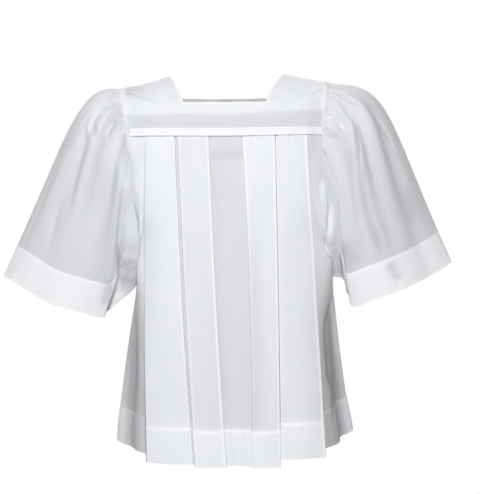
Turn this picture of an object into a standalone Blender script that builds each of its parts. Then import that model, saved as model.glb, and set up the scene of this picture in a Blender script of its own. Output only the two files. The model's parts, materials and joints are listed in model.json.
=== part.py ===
"""White square-yoke surplice, open and hollow as it hangs when it is worn.

A square-necked yoke carries a front and a back panel, each with four pressed box
pleats, and two short bell sleeves gathered into the armholes. Every piece is a closed
wall of cloth. Units are metres, +Z is up and the front faces -Y. The origin lies
midway between the two points where the neckline crosses the shoulders.
"""

import bmesh
import bpy
import numpy as np

LEFT, RIGHT = -1, 1  # sides, as the sign of x
FRONT, BACK = -1, 1  # faces, as the sign of y
SIDE_NAMES = {LEFT: "left", RIGHT: "right"}
FACE_NAMES = {FRONT: "front", BACK: "back"}

# ---------------------------------------------------------------- cloth
WALL = 0.0012  # one layer of cloth
PLY = 0.0010  # a layer turned in behind another
GAP = 0.0003  # between pieces that are sewn together
PLY_LIFT = WALL / 2 + GAP + PLY / 2  # from the middle of a wall to the middle of its turned-in ply
CLOTH_WHITE = (0.86, 0.88, 0.91)
DOUBLED_WHITE = (0.93, 0.94, 0.96)

# ---------------------------------------------------------------- hems and trims
BODY_HEM = 0.065
CUFF_HEM = 0.064
BAND_DEPTH = 0.015
BAND_LIFT = 0.0020  # the band's middle in front of the cloth that it covers
FACING_WIDTH = 0.022

# ---------------------------------------------------------------- body
SECTION_POWER = 3.0  # roundness of the body's plan: 2 is an ellipse
ARM_REACH = {FRONT: 0.080, BACK: 0.075}
ARM_TOP = {LEFT: -0.0250, RIGHT: -0.0115}
ARM_FOOT = {LEFT: -0.325, RIGHT: -0.318}


def table(names, *rows):
    """The columns of a table, by name."""
    return {name: np.array(column) for name, column in zip(names.split(), zip(*rows))}


# Distance of the armhole seam from x = 0, by the angle round it from the shoulder tip.
ARMHOLE = table(
    "angle left right",
    (0, 0.2050, 0.1950),
    (30, 0.1980, 0.1900),
    (60, 0.1860, 0.1840),
    (75, 0.1810, 0.1830),
    (90, 0.1750, 0.1825),
    (120, 0.1688, 0.1887),
    (135, 0.1686, 0.1940),
    (150, 0.1697, 0.1984),
    (180, 0.1710, 0.2020),
)
# Half widths below the armholes, and depths of the base cloth in front and behind.
BODY = table(
    "z left right front back",
    (-0.740, 0.2015, 0.2440, 0.1560, 0.1480),
    (-0.690, 0.2030, 0.2410, 0.1530, 0.1450),
    (-0.620, 0.1970, 0.2275, 0.1470, 0.1390),
    (-0.550, 0.1890, 0.2180, 0.1410, 0.1310),
    (-0.480, 0.1800, 0.2110, 0.1345, 0.1220),
    (-0.410, 0.1708, 0.2055, 0.1275, 0.1120),
    (-0.325, 0.1710, 0.2020, 0.1190, 0.1040),
    (-0.200, 0.1720, 0.2010, 0.1075, 0.0980),
    (-0.100, 0.1740, 0.2000, 0.0985, 0.0880),
)
# Height of the lower edge of the base cloth.
HEM = {
    FRONT: table(
        "x z",
        (-0.205, -0.6935),
        (-0.195, -0.6990),
        (-0.178, -0.7065),
        (-0.145, -0.7110),
        (-0.090, -0.7160),
        (-0.050, -0.7240),
        (0.000, -0.7313),
        (0.050, -0.7315),
        (0.090, -0.7240),
        (0.120, -0.7130),
        (0.180, -0.7000),
        (0.214, -0.6890),
        (0.228, -0.6825),
        (0.244, -0.6750),
    ),
    BACK: table(
        "x z",
        (-0.205, -0.6935),
        (-0.185, -0.7000),
        (-0.100, -0.7130),
        (0.000, -0.7230),
        (0.100, -0.7150),
        (0.180, -0.7010),
        (0.244, -0.6750),
    ),
}
# Middle of the band, where the yoke meets the body.
JOIN = {
    FRONT: table("x z", (-0.182, -0.1183), (0.000, -0.1198), (0.183, -0.1150)),
    BACK: table("x z", (-0.182, -0.1130), (0.000, -0.1160), (0.183, -0.1100)),
}

# ---------------------------------------------------------------- pleats
BASE, UNDER, FACE = 0, 1, 2  # the three layers of a box pleat, from the body outwards
LAYER_STEP_TOP = {UNDER: 0.0022, FACE: 0.0022}
LAYER_STEP_HEM = {UNDER: 0.0038, FACE: 0.0054}
STEP_FULL_AT = 0.80  # share of the panel's height at which the layers reach their widest step
TUCK_ROOM = 0.0024  # from a tuck's middle to each of the two folds that meet there
FACE_BOW = 0.0035  # how far a pleat's face stands out between its edges at the hem
# Left edge, right edge and the meeting line behind each pleat, as x at the band, half way
# down and at the hem, and the height of the pleat's own hem.
PLEATS = {
    FRONT: table(
        "left_top left_mid left_hem right_top right_mid right_hem tuck_top tuck_mid tuck_hem hem_z",
        (-0.1438, -0.1460, -0.1395, -0.0940, -0.0795, -0.0582, -0.1190, -0.1020, -0.0760, -0.7262),
        (-0.0902, -0.0757, -0.0548, -0.0320, -0.0150, 0.0017, -0.0610, -0.0450, -0.0270, -0.7315),
        (0.0307, 0.0455, 0.0486, 0.0916, 0.0958, 0.0990, 0.0610, 0.0705, 0.0740, -0.7320),
        (0.0942, 0.0984, 0.1016, 0.1496, 0.1622, 0.1803, 0.1220, 0.1225, 0.1235, -0.7180),
    ),
    BACK: table(
        "left_top left_mid left_hem right_top right_mid right_hem tuck_top tuck_mid tuck_hem hem_z",
        (-0.1450, -0.1500, -0.1480, -0.0910, -0.0880, -0.0800, -0.1180, -0.1190, -0.1140, -0.7230),
        (-0.0872, -0.0842, -0.0762, -0.0320, -0.0290, -0.0230, -0.0600, -0.0560, -0.0500, -0.7270),
        (0.0310, 0.0350, 0.0380, 0.0900, 0.0960, 0.0990, 0.0610, 0.0660, 0.0690, -0.7265),
        (0.0938, 0.0998, 0.1028, 0.1490, 0.1640, 0.1780, 0.1220, 0.1320, 0.1400, -0.7170),
    ),
}
# The folds of one box pleat in the order of its cloth from left to right: the line it lies
# on, the layers before and after it, and the sides that its bulge and its outer face turn to.
FOLDS = (
    ("tuck", BASE, UNDER, 1, -1),
    ("left", UNDER, FACE, -1, -1),
    ("right", FACE, UNDER, 1, 1),
    ("tuck", UNDER, BASE, -1, 1),
)
# Soft upright folds in the cloth between the side seam and the first pleat: place from the
# seam to the pleat's tuck, half width, and how far the cloth stands out at the hem.
SIDE_FOLDS = {
    (FRONT, LEFT): table("place width out", (0.25, 0.10, 0.006), (0.53, 0.10, -0.016)),
    (FRONT, RIGHT): table("place width out", (0.28, 0.10, 0.006), (0.52, 0.12, -0.022)),
    (BACK, LEFT): table("place width out", (0.25, 0.11, 0.008), (0.50, 0.12, -0.014)),
    (BACK, RIGHT): table("place width out", (0.22, 0.10, 0.007), (0.48, 0.11, -0.016)),
}
SIDE_FOLD_STARTS = 0.40  # share of the panel's height

# ---------------------------------------------------------------- yoke
SHOULDER = {
    LEFT: table("along x z", (0.0, 0.2050, -0.0250), (0.55, 0.1530, -0.0145), (1.0, 0.1095, 0.0000)),
    RIGHT: table("along x z", (0.0, 0.1950, -0.0115), (0.50, 0.1500, -0.0045), (1.0, 0.1095, 0.0035)),
}
# The neck side of the yoke from the shoulder down: the neckline's corner is at NECK_CORNER.
NECK_CORNER = 0.60
NECK = {
    FRONT: table(
        "down left right reach z",
        (0.0, 0.1095, 0.1095, 0.000, 0.001),
        (0.3, 0.0955, 0.0935, 0.042, -0.0240),
        (0.6, 0.0800, 0.0765, 0.0800, -0.0610),
        (0.8, 0.0800, 0.0765, 0.0935, -0.0890),
        (1.0, 0.0800, 0.0765, 0.1040, -0.1195),
    ),
    BACK: table(
        "down left right reach z",
        (0.0, 0.1095, 0.1095, 0.000, 0.001),
        (0.3, 0.1020, 0.1010, 0.036, -0.0110),
        (0.6, 0.0920, 0.0900, 0.0640, -0.0360),
        (0.8, 0.0920, 0.0900, 0.0800, -0.0720),
        (1.0, 0.0920, 0.0900, 0.0930, -0.1155),
    ),
}
STRAP_BEND = 1.5  # how soon the yoke flattens between the armhole and the neck
FACING_STRAP = FACING_WIDTH / 0.100  # the facing's share of a strap's width
FACING_DROP = 0.16  # the facing's share of the way down, below the neckline

# ---------------------------------------------------------------- sleeves
# The open end of each sleeve, by the angle of the armhole that it hangs from.
CUFF = {
    LEFT: table(
        "angle x y z",
        (0, -0.4310, 0.000, -0.3900),
        (28, -0.3940, -0.045, -0.4063),
        (52, -0.3290, -0.085, -0.4400),
        (68, -0.2723, -0.090, -0.4560),
        (82, -0.2310, -0.072, -0.4660),
        (92, -0.2220, -0.058, -0.4590),
        (130, -0.2000, -0.032, -0.4360),
        (180, -0.1745, 0.000, -0.4100),
        (230, -0.2000, 0.032, -0.4320),
        (268, -0.2220, 0.056, -0.4520),
        (278, -0.2310, 0.068, -0.4550),
        (292, -0.2700, 0.086, -0.4450),
        (308, -0.3250, 0.083, -0.4320),
        (332, -0.3900, 0.045, -0.4030),
    ),
    RIGHT: table(
        "angle x y z",
        (0, 0.4385, 0.000, -0.3618),
        (28, 0.3900, -0.045, -0.3889),
        (52, 0.3270, -0.085, -0.4151),
        (68, 0.2798, -0.088, -0.4318),
        (82, 0.2420, -0.068, -0.4455),
        (92, 0.2390, -0.054, -0.4400),
        (130, 0.2290, -0.026, -0.4000),
        (180, 0.2085, 0.000, -0.3940),
        (230, 0.2290, 0.030, -0.4000),
        (268, 0.2400, 0.054, -0.4270),
        (278, 0.2450, 0.066, -0.4380),
        (292, 0.2780, 0.084, -0.4280),
        (308, 0.3270, 0.083, -0.4110),
        (332, 0.3880, 0.045, -0.3860),
    ),
}
# How the cloth leaves the armhole and arrives at the cuff, as the two inner handles of a
# cubic curve: "out" is away from the body, "fore" away from the sleeve's middle plane. The
# middle of the sleeve's first ring lies "clear" of the armhole's seam.
SLEEVE_LINES = table(
    "angle clear lead_out lead_fore lead_up tail_in tail_fore tail_up",
    (0, 0.0007, 0.080, 0.000, 0.014, 0.131, 0.000, 0.290),
    (28, 0.0008, 0.075, 0.020, 0.012, 0.120, 0.030, 0.280),
    (52, 0.0010, 0.060, 0.036, 0.000, 0.090, 0.030, 0.250),
    (68, 0.0013, 0.038, 0.034, -0.018, 0.055, 0.018, 0.200),
    (82, 0.0015, 0.024, 0.026, -0.032, 0.026, 0.010, 0.120),
    (100, 0.0015, 0.018, 0.018, -0.030, 0.016, 0.010, 0.080),
    (130, 0.0015, 0.010, 0.008, -0.025, 0.008, 0.008, 0.045),
    (180, 0.0015, 0.003, 0.000, -0.015, 0.000, 0.000, 0.025),
)
CAP_PUFF = {LEFT: 1.0, RIGHT: 1.62}  # fullness of each cap, on the "lead_out" handle
CAP_RISE = {LEFT: 0.000, RIGHT: -0.019}  # height of each cap, added to the "lead_up" handle
CAP_GATHERS = 14  # over the top of each armhole
CAP_SPREAD = 105.0  # degrees to each side of the shoulder tip
CAP_DEPTH = 0.0035
CAP_FADE = 0.16  # share of the sleeve's length over which the gathers open out
# Long soft folds down a sleeve: angle, half width in degrees, height out of the cloth, and
# the share of the length where it is deepest.
SLEEVE_FOLDS = {
    LEFT: table(
        "angle width out peak",
        (38, 6, -0.006, 0.45),
        (49, 6, 0.005, 0.40),
        (60, 5, -0.008, 0.45),
        (71, 5, 0.006, 0.40),
        (104, 10, -0.006, 0.60),
        (128, 12, 0.006, 0.50),
        (292, 6, 0.006, 0.40),
        (304, 6, -0.008, 0.45),
        (318, 6, 0.005, 0.40),
        (331, 7, -0.006, 0.50),
    ),
    RIGHT: table(
        "angle width out peak",
        (24, 7, -0.005, 0.50),
        (36, 6, 0.005, 0.40),
        (47, 6, -0.010, 0.45),
        (60, 6, 0.006, 0.40),
        (72, 5, -0.005, 0.50),
        (104, 10, -0.006, 0.60),
        (128, 12, 0.006, 0.50),
        (290, 6, 0.006, 0.40),
        (302, 6, -0.008, 0.45),
        (316, 6, 0.005, 0.40),
        (330, 7, -0.006, 0.50),
    ),
}

# ---------------------------------------------------------------- how finely each piece is cut
PANEL_ROWS = {  # 0 to 1 is the armhole, 1 to 2 the skirt and 2 to 3 the hem
    FRONT: (0, 0.25, 0.5, 0.7, 0.86, 0.96, 1, 1.25, 1.5, 1.75, 2, 2.5, 3),
    BACK: (0, 0.3, 0.6, 0.82, 0.95, 1, 1.33, 1.66, 2, 3),
}
HEM_ROWS = {FRONT: (2, 2.5, 3), BACK: (2, 3)}
SIDE_STEPS = 9
FACE_STEPS = 3
UNDER_STEPS = 2
CENTRE_STEPS = 4
FOLD_STEPS = 2
STRAP_STEPS = 4
NECK_STEPS = 6
YOKE_ROWS = (0, 0.15, 0.3, 0.45, NECK_CORNER, NECK_CORNER + FACING_DROP, 0.88, 1)
SLEEVE_ROWS = (0, 0.04, 0.10, 0.18, 0.30, 0.46, 0.64, 0.82, 1, 2)  # 1 to 2 is the cuff's hem
CUFF_ROWS = (1, 2)


def smooth(keys, values, at):
    """The value at `at` on a smooth curve through the points (keys, values)."""
    order = np.argsort(keys)
    keys, values = keys[order], values[order]
    slopes = np.gradient(values, keys)
    low = np.clip(np.searchsorted(keys, at) - 1, 0, len(keys) - 2)
    step = keys[low + 1] - keys[low]
    s = np.clip((at - keys[low]) / step, 0, 1)
    rise = values[low + 1] - values[low]
    start, end = slopes[low] * step, slopes[low + 1] * step
    return values[low] + s * (start + s * (3 * rise - 2 * start - end + s * (start + end - 2 * rise)))


def smooth_round(keys, values, at):
    """The same on a closed curve whose keys are degrees."""
    keys = np.concatenate([keys - 360, keys, keys + 360])
    return smooth(keys, np.tile(values, 3), np.mod(at, 360))


def ease(value):
    """0 to 1 with soft ends."""
    value = np.clip(value, 0, 1)
    return value * value * (3 - 2 * value)


def mix(first, second, share):
    return first + (second - first) * share


def unit(vectors):
    return vectors / np.linalg.norm(vectors, axis=-1, keepdims=True)


# ---------------------------------------------------------------- armholes and body sections
def seam_x(side, angle):
    """Distance of an armhole seam from x = 0; it is the same in front of the arm and behind it."""
    angles, distances = ARMHOLE["angle"], ARMHOLE[SIDE_NAMES[side]]
    angles = np.concatenate([-angles[1:2], angles, 360 - angles[-2:-1]])
    distances = np.concatenate([distances[1:2], distances, distances[-2:-1]])
    return smooth(angles, distances, 180 - abs(180 - angle))


def armhole(side, angle):
    """Points of an armhole seam: 0 is the shoulder tip, 90 the front and 180 the underarm."""
    angle = np.mod(angle, 360)
    reach = np.where(angle <= 180, ARM_REACH[FRONT], ARM_REACH[BACK])
    turn = np.radians(angle)
    x = side * seam_x(side, angle)
    z = mix(ARM_TOP[side], ARM_FOOT[side], (1 - np.cos(turn)) / 2)
    return np.stack([x, -reach * np.sin(turn), z], axis=-1)


def armhole_angle(side, z):
    """The angle in front of the arm at which an armhole seam has height z."""
    share = (ARM_TOP[side] - z) / (ARM_TOP[side] - ARM_FOOT[side])
    return np.degrees(np.arccos(1 - 2 * np.clip(share, 0, 1)))


def depth(face, z):
    return smooth(BODY["z"], BODY[FACE_NAMES[face]], z)


def narrowed(y, full_depth):
    """Width of the body's plan at distance y from its middle, as a share of the widest."""
    return (1 - np.clip(y / full_depth, 0, 0.99) ** SECTION_POWER) ** (1 / SECTION_POWER)


def edge_y(side, face, z):
    """Distance from y = 0 of a panel's side edge: its armhole above, its side seam below."""
    return np.maximum(GAP / 2, ARM_REACH[face] * np.sin(np.radians(armhole_angle(side, z))))


def half_width(side, face, z):
    """Half width of the plan at height z, such that it passes through the armhole seam."""
    below = smooth(BODY["z"], BODY[SIDE_NAMES[side]], z)
    above = seam_x(side, armhole_angle(side, z)) / narrowed(edge_y(side, face, z), depth(face, z))
    return np.where(z < ARM_FOOT[side], below, above)


def turn_at_x(face, x, z):
    """Direction from the body's axis, in radians from straight ahead, of the base cloth at x."""
    width = np.where(x < 0, half_width(LEFT, face, z), half_width(RIGHT, face, z))
    y = depth(face, z) * narrowed(abs(x), width)
    return np.arctan2(x, y)


def turn_at_edge(side, face, z):
    """Direction of a panel's side edge."""
    y = edge_y(side, face, z)
    return side * np.arctan2(half_width(side, face, z) * narrowed(y, depth(face, z)), y)


def base_cloth(face, turn, z):
    """Points, outward directions and rightward directions of the body's base cloth."""
    width = np.where(turn < 0, half_width(LEFT, face, z), half_width(RIGHT, face, z))
    deep = depth(face, z)
    across, ahead = abs(np.sin(turn)) / width, abs(np.cos(turn)) / deep
    radius = (across**SECTION_POWER + ahead**SECTION_POWER) ** (-1 / SECTION_POWER)
    points = np.stack([radius * np.sin(turn), face * radius * np.cos(turn), z], axis=-1)
    power = SECTION_POWER - 1
    out_x = np.sign(turn) * (across * radius) ** power / width
    out_y = face * (ahead * radius) ** power / deep
    out = unit(np.stack([out_x, out_y, np.zeros_like(out_x)], axis=-1))
    right = np.stack([abs(out[..., 1]), -face * out[..., 0], 0 * out_x], axis=-1)
    return points, out, right


# ---------------------------------------------------------------- pleated panels
def layer_offset(layer, down):
    """Distance of a pleat's layer from the base cloth, `down` being 0 at the band and 1 at the hem."""
    share = np.clip(down / STEP_FULL_AT, 0, 1)
    steps = [mix(LAYER_STEP_TOP[n], LAYER_STEP_HEM[n], share) for n in range(UNDER, layer + 1)]
    return sum(steps, 0 * share)


def seam_offset(x):
    """How far the joined edges of yoke and band stand off the base cloth, to clear the pleats."""
    outer = [PLEATS[FRONT]["left_top"][0], PLEATS[FRONT]["right_top"][-1]]
    beyond = np.maximum(outer[0] - x, x - outer[1])
    return layer_offset(FACE, np.float64(0)) * (1 - ease(beyond / 0.030))


class Knot:
    """A line down a panel where its cloth folds over, or where the panel ends."""

    def __init__(self, x_rows, hem_z, fold=None, side=None):
        self.x_rows = x_rows
        self.hem_z = hem_z
        self.fold = fold
        self.side = side

    def turn(self, face, z, down):
        """Direction of the line at the heights z."""
        if self.side:
            return turn_at_edge(self.side, face, z)
        top, middle, hem = self.x_rows
        bend = 4 * down * (1 - down) * (middle - (top + hem) / 2)
        return turn_at_x(face, mix(top, hem, down) + bend, z)


def panel_knots(face):
    """The knots of a panel from its left edge to its right edge."""
    pleats = PLEATS[face]
    knots = [edge_knot(face, LEFT)]
    for index in range(len(pleats["hem_z"])):
        for fold in FOLDS:
            line, before, after, bulge, turned = fold
            shift = -bulge * TUCK_ROOM if line == "tuck" else 0.0
            x_rows = [pleats[f"{line}_{level}"][index] + shift for level in ("top", "mid", "hem")]
            base_z = smooth(HEM[face]["x"], HEM[face]["z"], x_rows[2])
            hem_z = mix(base_z, pleats["hem_z"][index], 1.0 if line != "tuck" else 0.5)
            knots.append(Knot(x_rows, hem_z, fold))
    return knots + [edge_knot(face, RIGHT)]


def edge_knot(face, side):
    x_top = armhole(side, armhole_angle(side, JOIN[face]["z"][1]))[0]
    x_hem = side * smooth(BODY["z"], BODY[SIDE_NAMES[side]], -0.70)
    return Knot((x_top, x_hem, x_hem), smooth(HEM[face]["x"], HEM[face]["z"], x_hem), side=side)


def panel_columns(knots, steps):
    """Where the panel's columns lie: (knot, share of the way to the next knot) or (knot, fold angle)."""
    columns = [("run", 0, 0.0)]
    for index in range(len(knots) - 1):
        layer = knots[index].fold[2] if knots[index].fold else BASE
        at_side = knots[index].side or knots[index + 1].side
        wide = layer == BASE and index == len(knots) // 2 - 1
        count = steps["side" if at_side else "centre" if wide else "face" if layer == FACE else "under"]
        columns += [("run", index, step / count) for step in range(1, count)]
        if knots[index + 1].fold:
            folded = np.linspace(0, np.pi, steps["fold"] + 1)
            columns += [("fold", index + 1, angle) for angle in folded]
    return columns + [("run", len(knots) - 2, 1.0)]


def run_relief(face, knots, index, share, layer, down):
    """How far the cloth between two folds stands off its own layer."""
    for side, seam_end in ((LEFT, knots[index]), (RIGHT, knots[index + 1])):
        if seam_end.side != side:
            continue
        folds = SIDE_FOLDS[face, side]
        place = share if side == LEFT else 1 - share
        swell = sum(
            out * np.exp(-(((place - centre) / width) ** 2))
            for centre, width, out in zip(folds["place"], folds["width"], folds["out"])
        )
        return swell * ease((down - SIDE_FOLD_STARTS) / (1 - SIDE_FOLD_STARTS))
    bow = FACE_BOW if layer == FACE else 0.0
    return bow * np.sin(np.pi * share) * down


def panel_column(face, knots, column, rows):
    """Points and outward directions of one column of a panel."""
    kind, index, value = column
    first = knots[index]
    second = knots[index + 1] if kind == "run" else first
    share = value if kind == "run" else 0.0
    x_top = mix(first.x_rows[0], second.x_rows[0], share)
    hem_z = mix(first.hem_z, second.hem_z, share)
    join_z = smooth(JOIN[face]["x"], JOIN[face]["z"], x_top) - GAP / 2
    foot_z = mix(ARM_FOOT[LEFT], ARM_FOOT[RIGHT], np.clip(x_top / 0.4 + 0.5, 0, 1))
    foot_z = ARM_FOOT[first.side] if first.side and share == 0 else foot_z
    foot_z = ARM_FOOT[second.side] if second.side and share == 1 else foot_z
    z = np.interp(rows, (0, 1, 2, 3), (join_z, foot_z, hem_z + BODY_HEM, hem_z))
    down = (join_z - z) / (join_z - hem_z)
    turn = mix(first.turn(face, z, down), second.turn(face, z, down), share)
    points, out, right = base_cloth(face, turn, z)
    if kind == "run":
        layer = first.fold[2] if first.fold else BASE
        offset = layer_offset(layer, down) + run_relief(face, knots, index, share, layer, down)
        facing = -1 if layer == UNDER else 1
        return points + offset[:, None] * out, facing * out
    line, before, after, bulge, turned = first.fold
    start, end = layer_offset(before, down), layer_offset(after, down)
    radius = abs(end - start) / 2
    offset = mix(start, end, (1 - np.cos(value)) / 2)
    along = bulge * radius * (np.sin(value) - 1)
    facing = -1 if before == UNDER else 1
    outward = facing * np.cos(value) * out + turned * np.sin(value) * right
    return points + offset[:, None] * out + along[:, None] * right, outward


def panel_grid(face, rows, steps):
    """Points and outward directions of a whole panel, row by row."""
    knots = panel_knots(face)
    rows = np.array(rows, float)
    columns = [panel_column(face, knots, column, rows) for column in panel_columns(knots, steps)]
    points = np.stack([points for points, _ in columns], axis=1)
    return points, np.stack([outward for _, outward in columns], axis=1)


# ---------------------------------------------------------------- yoke
def shoulder_line(side, share):
    line = SHOULDER[side]
    x = side * smooth(line["along"], line["x"], share)
    z = smooth(line["along"], line["z"], share)
    return np.stack([x, 0 * x, z], axis=-1)


def join_line(face, x):
    """The lower edge of the yoke, over the top of the pleats."""
    z = smooth(JOIN[face]["x"], JOIN[face]["z"], x)
    points, out, _ = base_cloth(face, turn_at_x(face, x, z), z)
    return points + seam_offset(x)[..., None] * out


def neck_line(side, face, down):
    """The neck side of the yoke, on the neckline down to its corner and on the cloth below it."""
    line = NECK[face]
    x = side * smooth(line["down"], line[SIDE_NAMES[side]], down)
    y = face * smooth(line["down"], line["reach"], down)
    z = smooth(line["down"], line["z"], down)
    foot = join_line(face, np.array(side * line[SIDE_NAMES[side]][-1]))
    last = np.array([side * line[SIDE_NAMES[side]][-1], face * line["reach"][-1], line["z"][-1]])
    return np.stack([x, y, z], axis=-1) + ease(down)[..., None] * (foot - last)


def arm_line(side, face, down):
    """The armhole side of the yoke."""
    join_z = JOIN[face]["z"][0 if side == LEFT else -1]
    angle = down * armhole_angle(side, join_z)
    return armhole(side, angle if face == FRONT else 360 - angle)


def strap(side, face, share, down):
    """The yoke between the armhole (share 0) and the neck (share 1)."""
    level = 1 - (1 - share) ** STRAP_BEND
    sloped = np.stack([share, level, level], axis=-1)
    ruled = mix(arm_line(side, face, down), neck_line(side, face, down), sloped)
    zero, one = np.zeros_like(down), np.ones_like(down)
    top = mix(arm_line(side, face, zero), neck_line(side, face, zero), sloped)
    low = mix(arm_line(side, face, one), neck_line(side, face, one), sloped)
    top_gain = shoulder_line(side, share) - top
    low_gain = join_line(face, low[..., 0]) - low
    lower = ease(down)[..., None]
    return ruled + (1 - lower) * top_gain + lower * low_gain


def breast(face, share, down):
    """The yoke below the neckline, from its left corner (share 0) to its right (share 1)."""
    wide = np.stack([share] * 3, axis=-1)
    ruled = mix(neck_line(LEFT, face, down), neck_line(RIGHT, face, down), wide)
    one = np.ones_like(down)
    low = mix(neck_line(LEFT, face, one), neck_line(RIGHT, face, one), wide)
    return ruled + ease(down)[..., None] * (join_line(face, low[..., 0]) - low)


def yoke_points(face, columns, rows):
    """The yoke at columns from 0 (left armhole) by 1 and 2 (neck sides) to 3 (right armhole)."""
    columns, rows = np.meshgrid(np.array(columns, float), np.array(rows, float))
    left = strap(LEFT, face, np.clip(columns, 0, 1), rows)
    middle = breast(face, np.clip(columns - 1, 0, 1), rows)
    right = strap(RIGHT, face, np.clip(3 - columns, 0, 1), rows)
    columns = columns[..., None]
    return np.where(columns <= 1, left, np.where(columns < 2, middle, right))


def yoke_grid(face, columns, rows):
    """Points and outward directions of the yoke, and which of its cells are cloth."""
    columns, rows = np.array(columns, float), np.array(rows, float)
    points = yoke_points(face, columns, rows)
    nudge = np.where(rows < 0.5, 1e-3, -1e-3)
    downward = (yoke_points(face, columns, rows + nudge) - points) / nudge[:, None, None]
    outward = face * unit(np.cross(np.gradient(points, axis=1), downward))
    outward[0] = unit(outward[0] * (1, 0, 1))
    outward[-1] = unit(outward[-1] * (1, 1, 0))
    in_neck = (columns[:-1] >= 1) & (columns[:-1] < 2) & (rows[:-1, None] < NECK_CORNER)
    return points, outward, ~in_neck


# ---------------------------------------------------------------- sleeves
def sleeve_points(side, angles, rows):
    """Points of a sleeve: angles as round the armhole, rows from 0 (armhole) to 1 (cuff edge)."""
    angles, rows = np.meshgrid(np.mod(angles, 360.0), np.array(rows, float))
    fore = np.where(angles <= 180, -1, 1)
    mirrored = 180 - abs(180 - angles)
    lines = {name: smooth(SLEEVE_LINES["angle"], SLEEVE_LINES[name], mirrored) for name in SLEEVE_LINES}
    start = armhole(side, angles)
    start[..., 0] += side * lines["clear"]
    cuff = CUFF[side]
    end = np.stack([smooth_round(cuff["angle"], cuff[axis], angles) for axis in "xyz"], axis=-1)
    lead_up = lines["lead_up"] + CAP_RISE[side] * np.cos(np.radians(mirrored / 2)) ** 2
    lead_out = CAP_PUFF[side] * lines["lead_out"]
    lead = np.stack([side * lead_out, fore * lines["lead_fore"], lead_up], axis=-1)
    tail = np.stack([-side * lines["tail_in"], fore * lines["tail_fore"], lines["tail_up"]], axis=-1)
    t = rows[..., None]
    handles = 3 * (1 - t) ** 2 * t * (start + lead) + 3 * (1 - t) * t**2 * (end + tail)
    return (1 - t) ** 3 * start + handles + t**3 * end


def sleeve_relief(side, angles, rows):
    """How far the gathers and folds of a sleeve stand out of its smooth form."""
    angles, rows = np.meshgrid(np.array(angles, float), np.array(rows, float))
    from_tip = (angles + 180) % 360 - 180
    on_cap = ease((CAP_SPREAD - abs(from_tip)) / 20)
    fade = np.exp(-(((rows - 0.05) / CAP_FADE) ** 2)) * ease(rows / 0.03)
    relief = CAP_DEPTH * on_cap * fade * np.cos(np.pi * CAP_GATHERS * from_tip / CAP_SPREAD)
    folds = SLEEVE_FOLDS[side]
    for angle, width, out, peak in zip(*(folds[name] for name in ("angle", "width", "out", "peak"))):
        away = (angles - angle + 180) % 360 - 180
        along = np.exp(-(((rows - peak) / 0.36) ** 2)) * ease(rows / 0.10)
        relief = relief + out * along * np.exp(-((away / width) ** 2))
    return relief


def sleeve_grid(side, angles, rows):
    """Points and outward directions of a sleeve with its gathers and folds."""
    angles, rows = np.array(angles, float), np.array(rows, float)

    def outward_of(form, angles, rows):
        round_it = form(angles + 0.5, rows) - form(angles - 0.5, rows)
        down_it = form(angles, rows + 0.004) - form(angles, rows - 0.004)
        return side * unit(np.cross(round_it, down_it))

    def plain(angles, rows):
        return sleeve_points(side, angles, rows)

    def folded(angles, rows):
        relief = sleeve_relief(side, angles, rows)[..., None]
        return plain(angles, rows) + relief * outward_of(plain, angles, rows)

    return folded(angles, rows), outward_of(folded, angles, rows)


def sleeve_angles():
    """Columns of a sleeve: four to a gather over the cap, and wider ones under the arm."""
    cap = np.linspace(-CAP_SPREAD, CAP_SPREAD, CAP_GATHERS * 4 - 3)[:-1]
    under = np.linspace(CAP_SPREAD, 360 - CAP_SPREAD, 11)[:-1]
    return np.concatenate([cap, under])


def cuff_share(side, angles):
    """Row at which the cuff's hem ends, so that it is CUFF_HEM deep at each angle."""
    rows = np.linspace(0, 1, 61)
    points = sleeve_points(side, angles, rows)
    lengths = np.linalg.norm(np.diff(points, axis=0), axis=-1)
    from_edge = np.concatenate([np.cumsum(lengths[::-1], axis=0)[::-1], 0 * lengths[:1]])
    return np.array([np.interp(-CUFF_HEM, -from_edge[:, k], rows) for k in range(len(angles))])


# ---------------------------------------------------------------- building
def fabric(name, colour):
    """A white cloth material for one piece."""
    material = bpy.data.materials.new(name)
    material.use_nodes = True
    shader = material.node_tree.nodes["Principled BSDF"]
    shader.inputs["Base Color"].default_value = (*colour, 1)
    shader.inputs["Roughness"].default_value = 0.75
    shader.inputs["Metallic"].default_value = 0.0
    return material


def cell_corners(shape, closed, keep):
    """Corner indices of each cell of cloth in a grid, which is round when it is closed."""
    rows, columns = shape
    for i in range(rows - 1):
        for j in range(columns if closed else columns - 1):
            if keep is None or keep[i, j]:
                k = (j + 1) % columns
                yield (i, j), (i, k), (i + 1, k), (i + 1, j)


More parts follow.
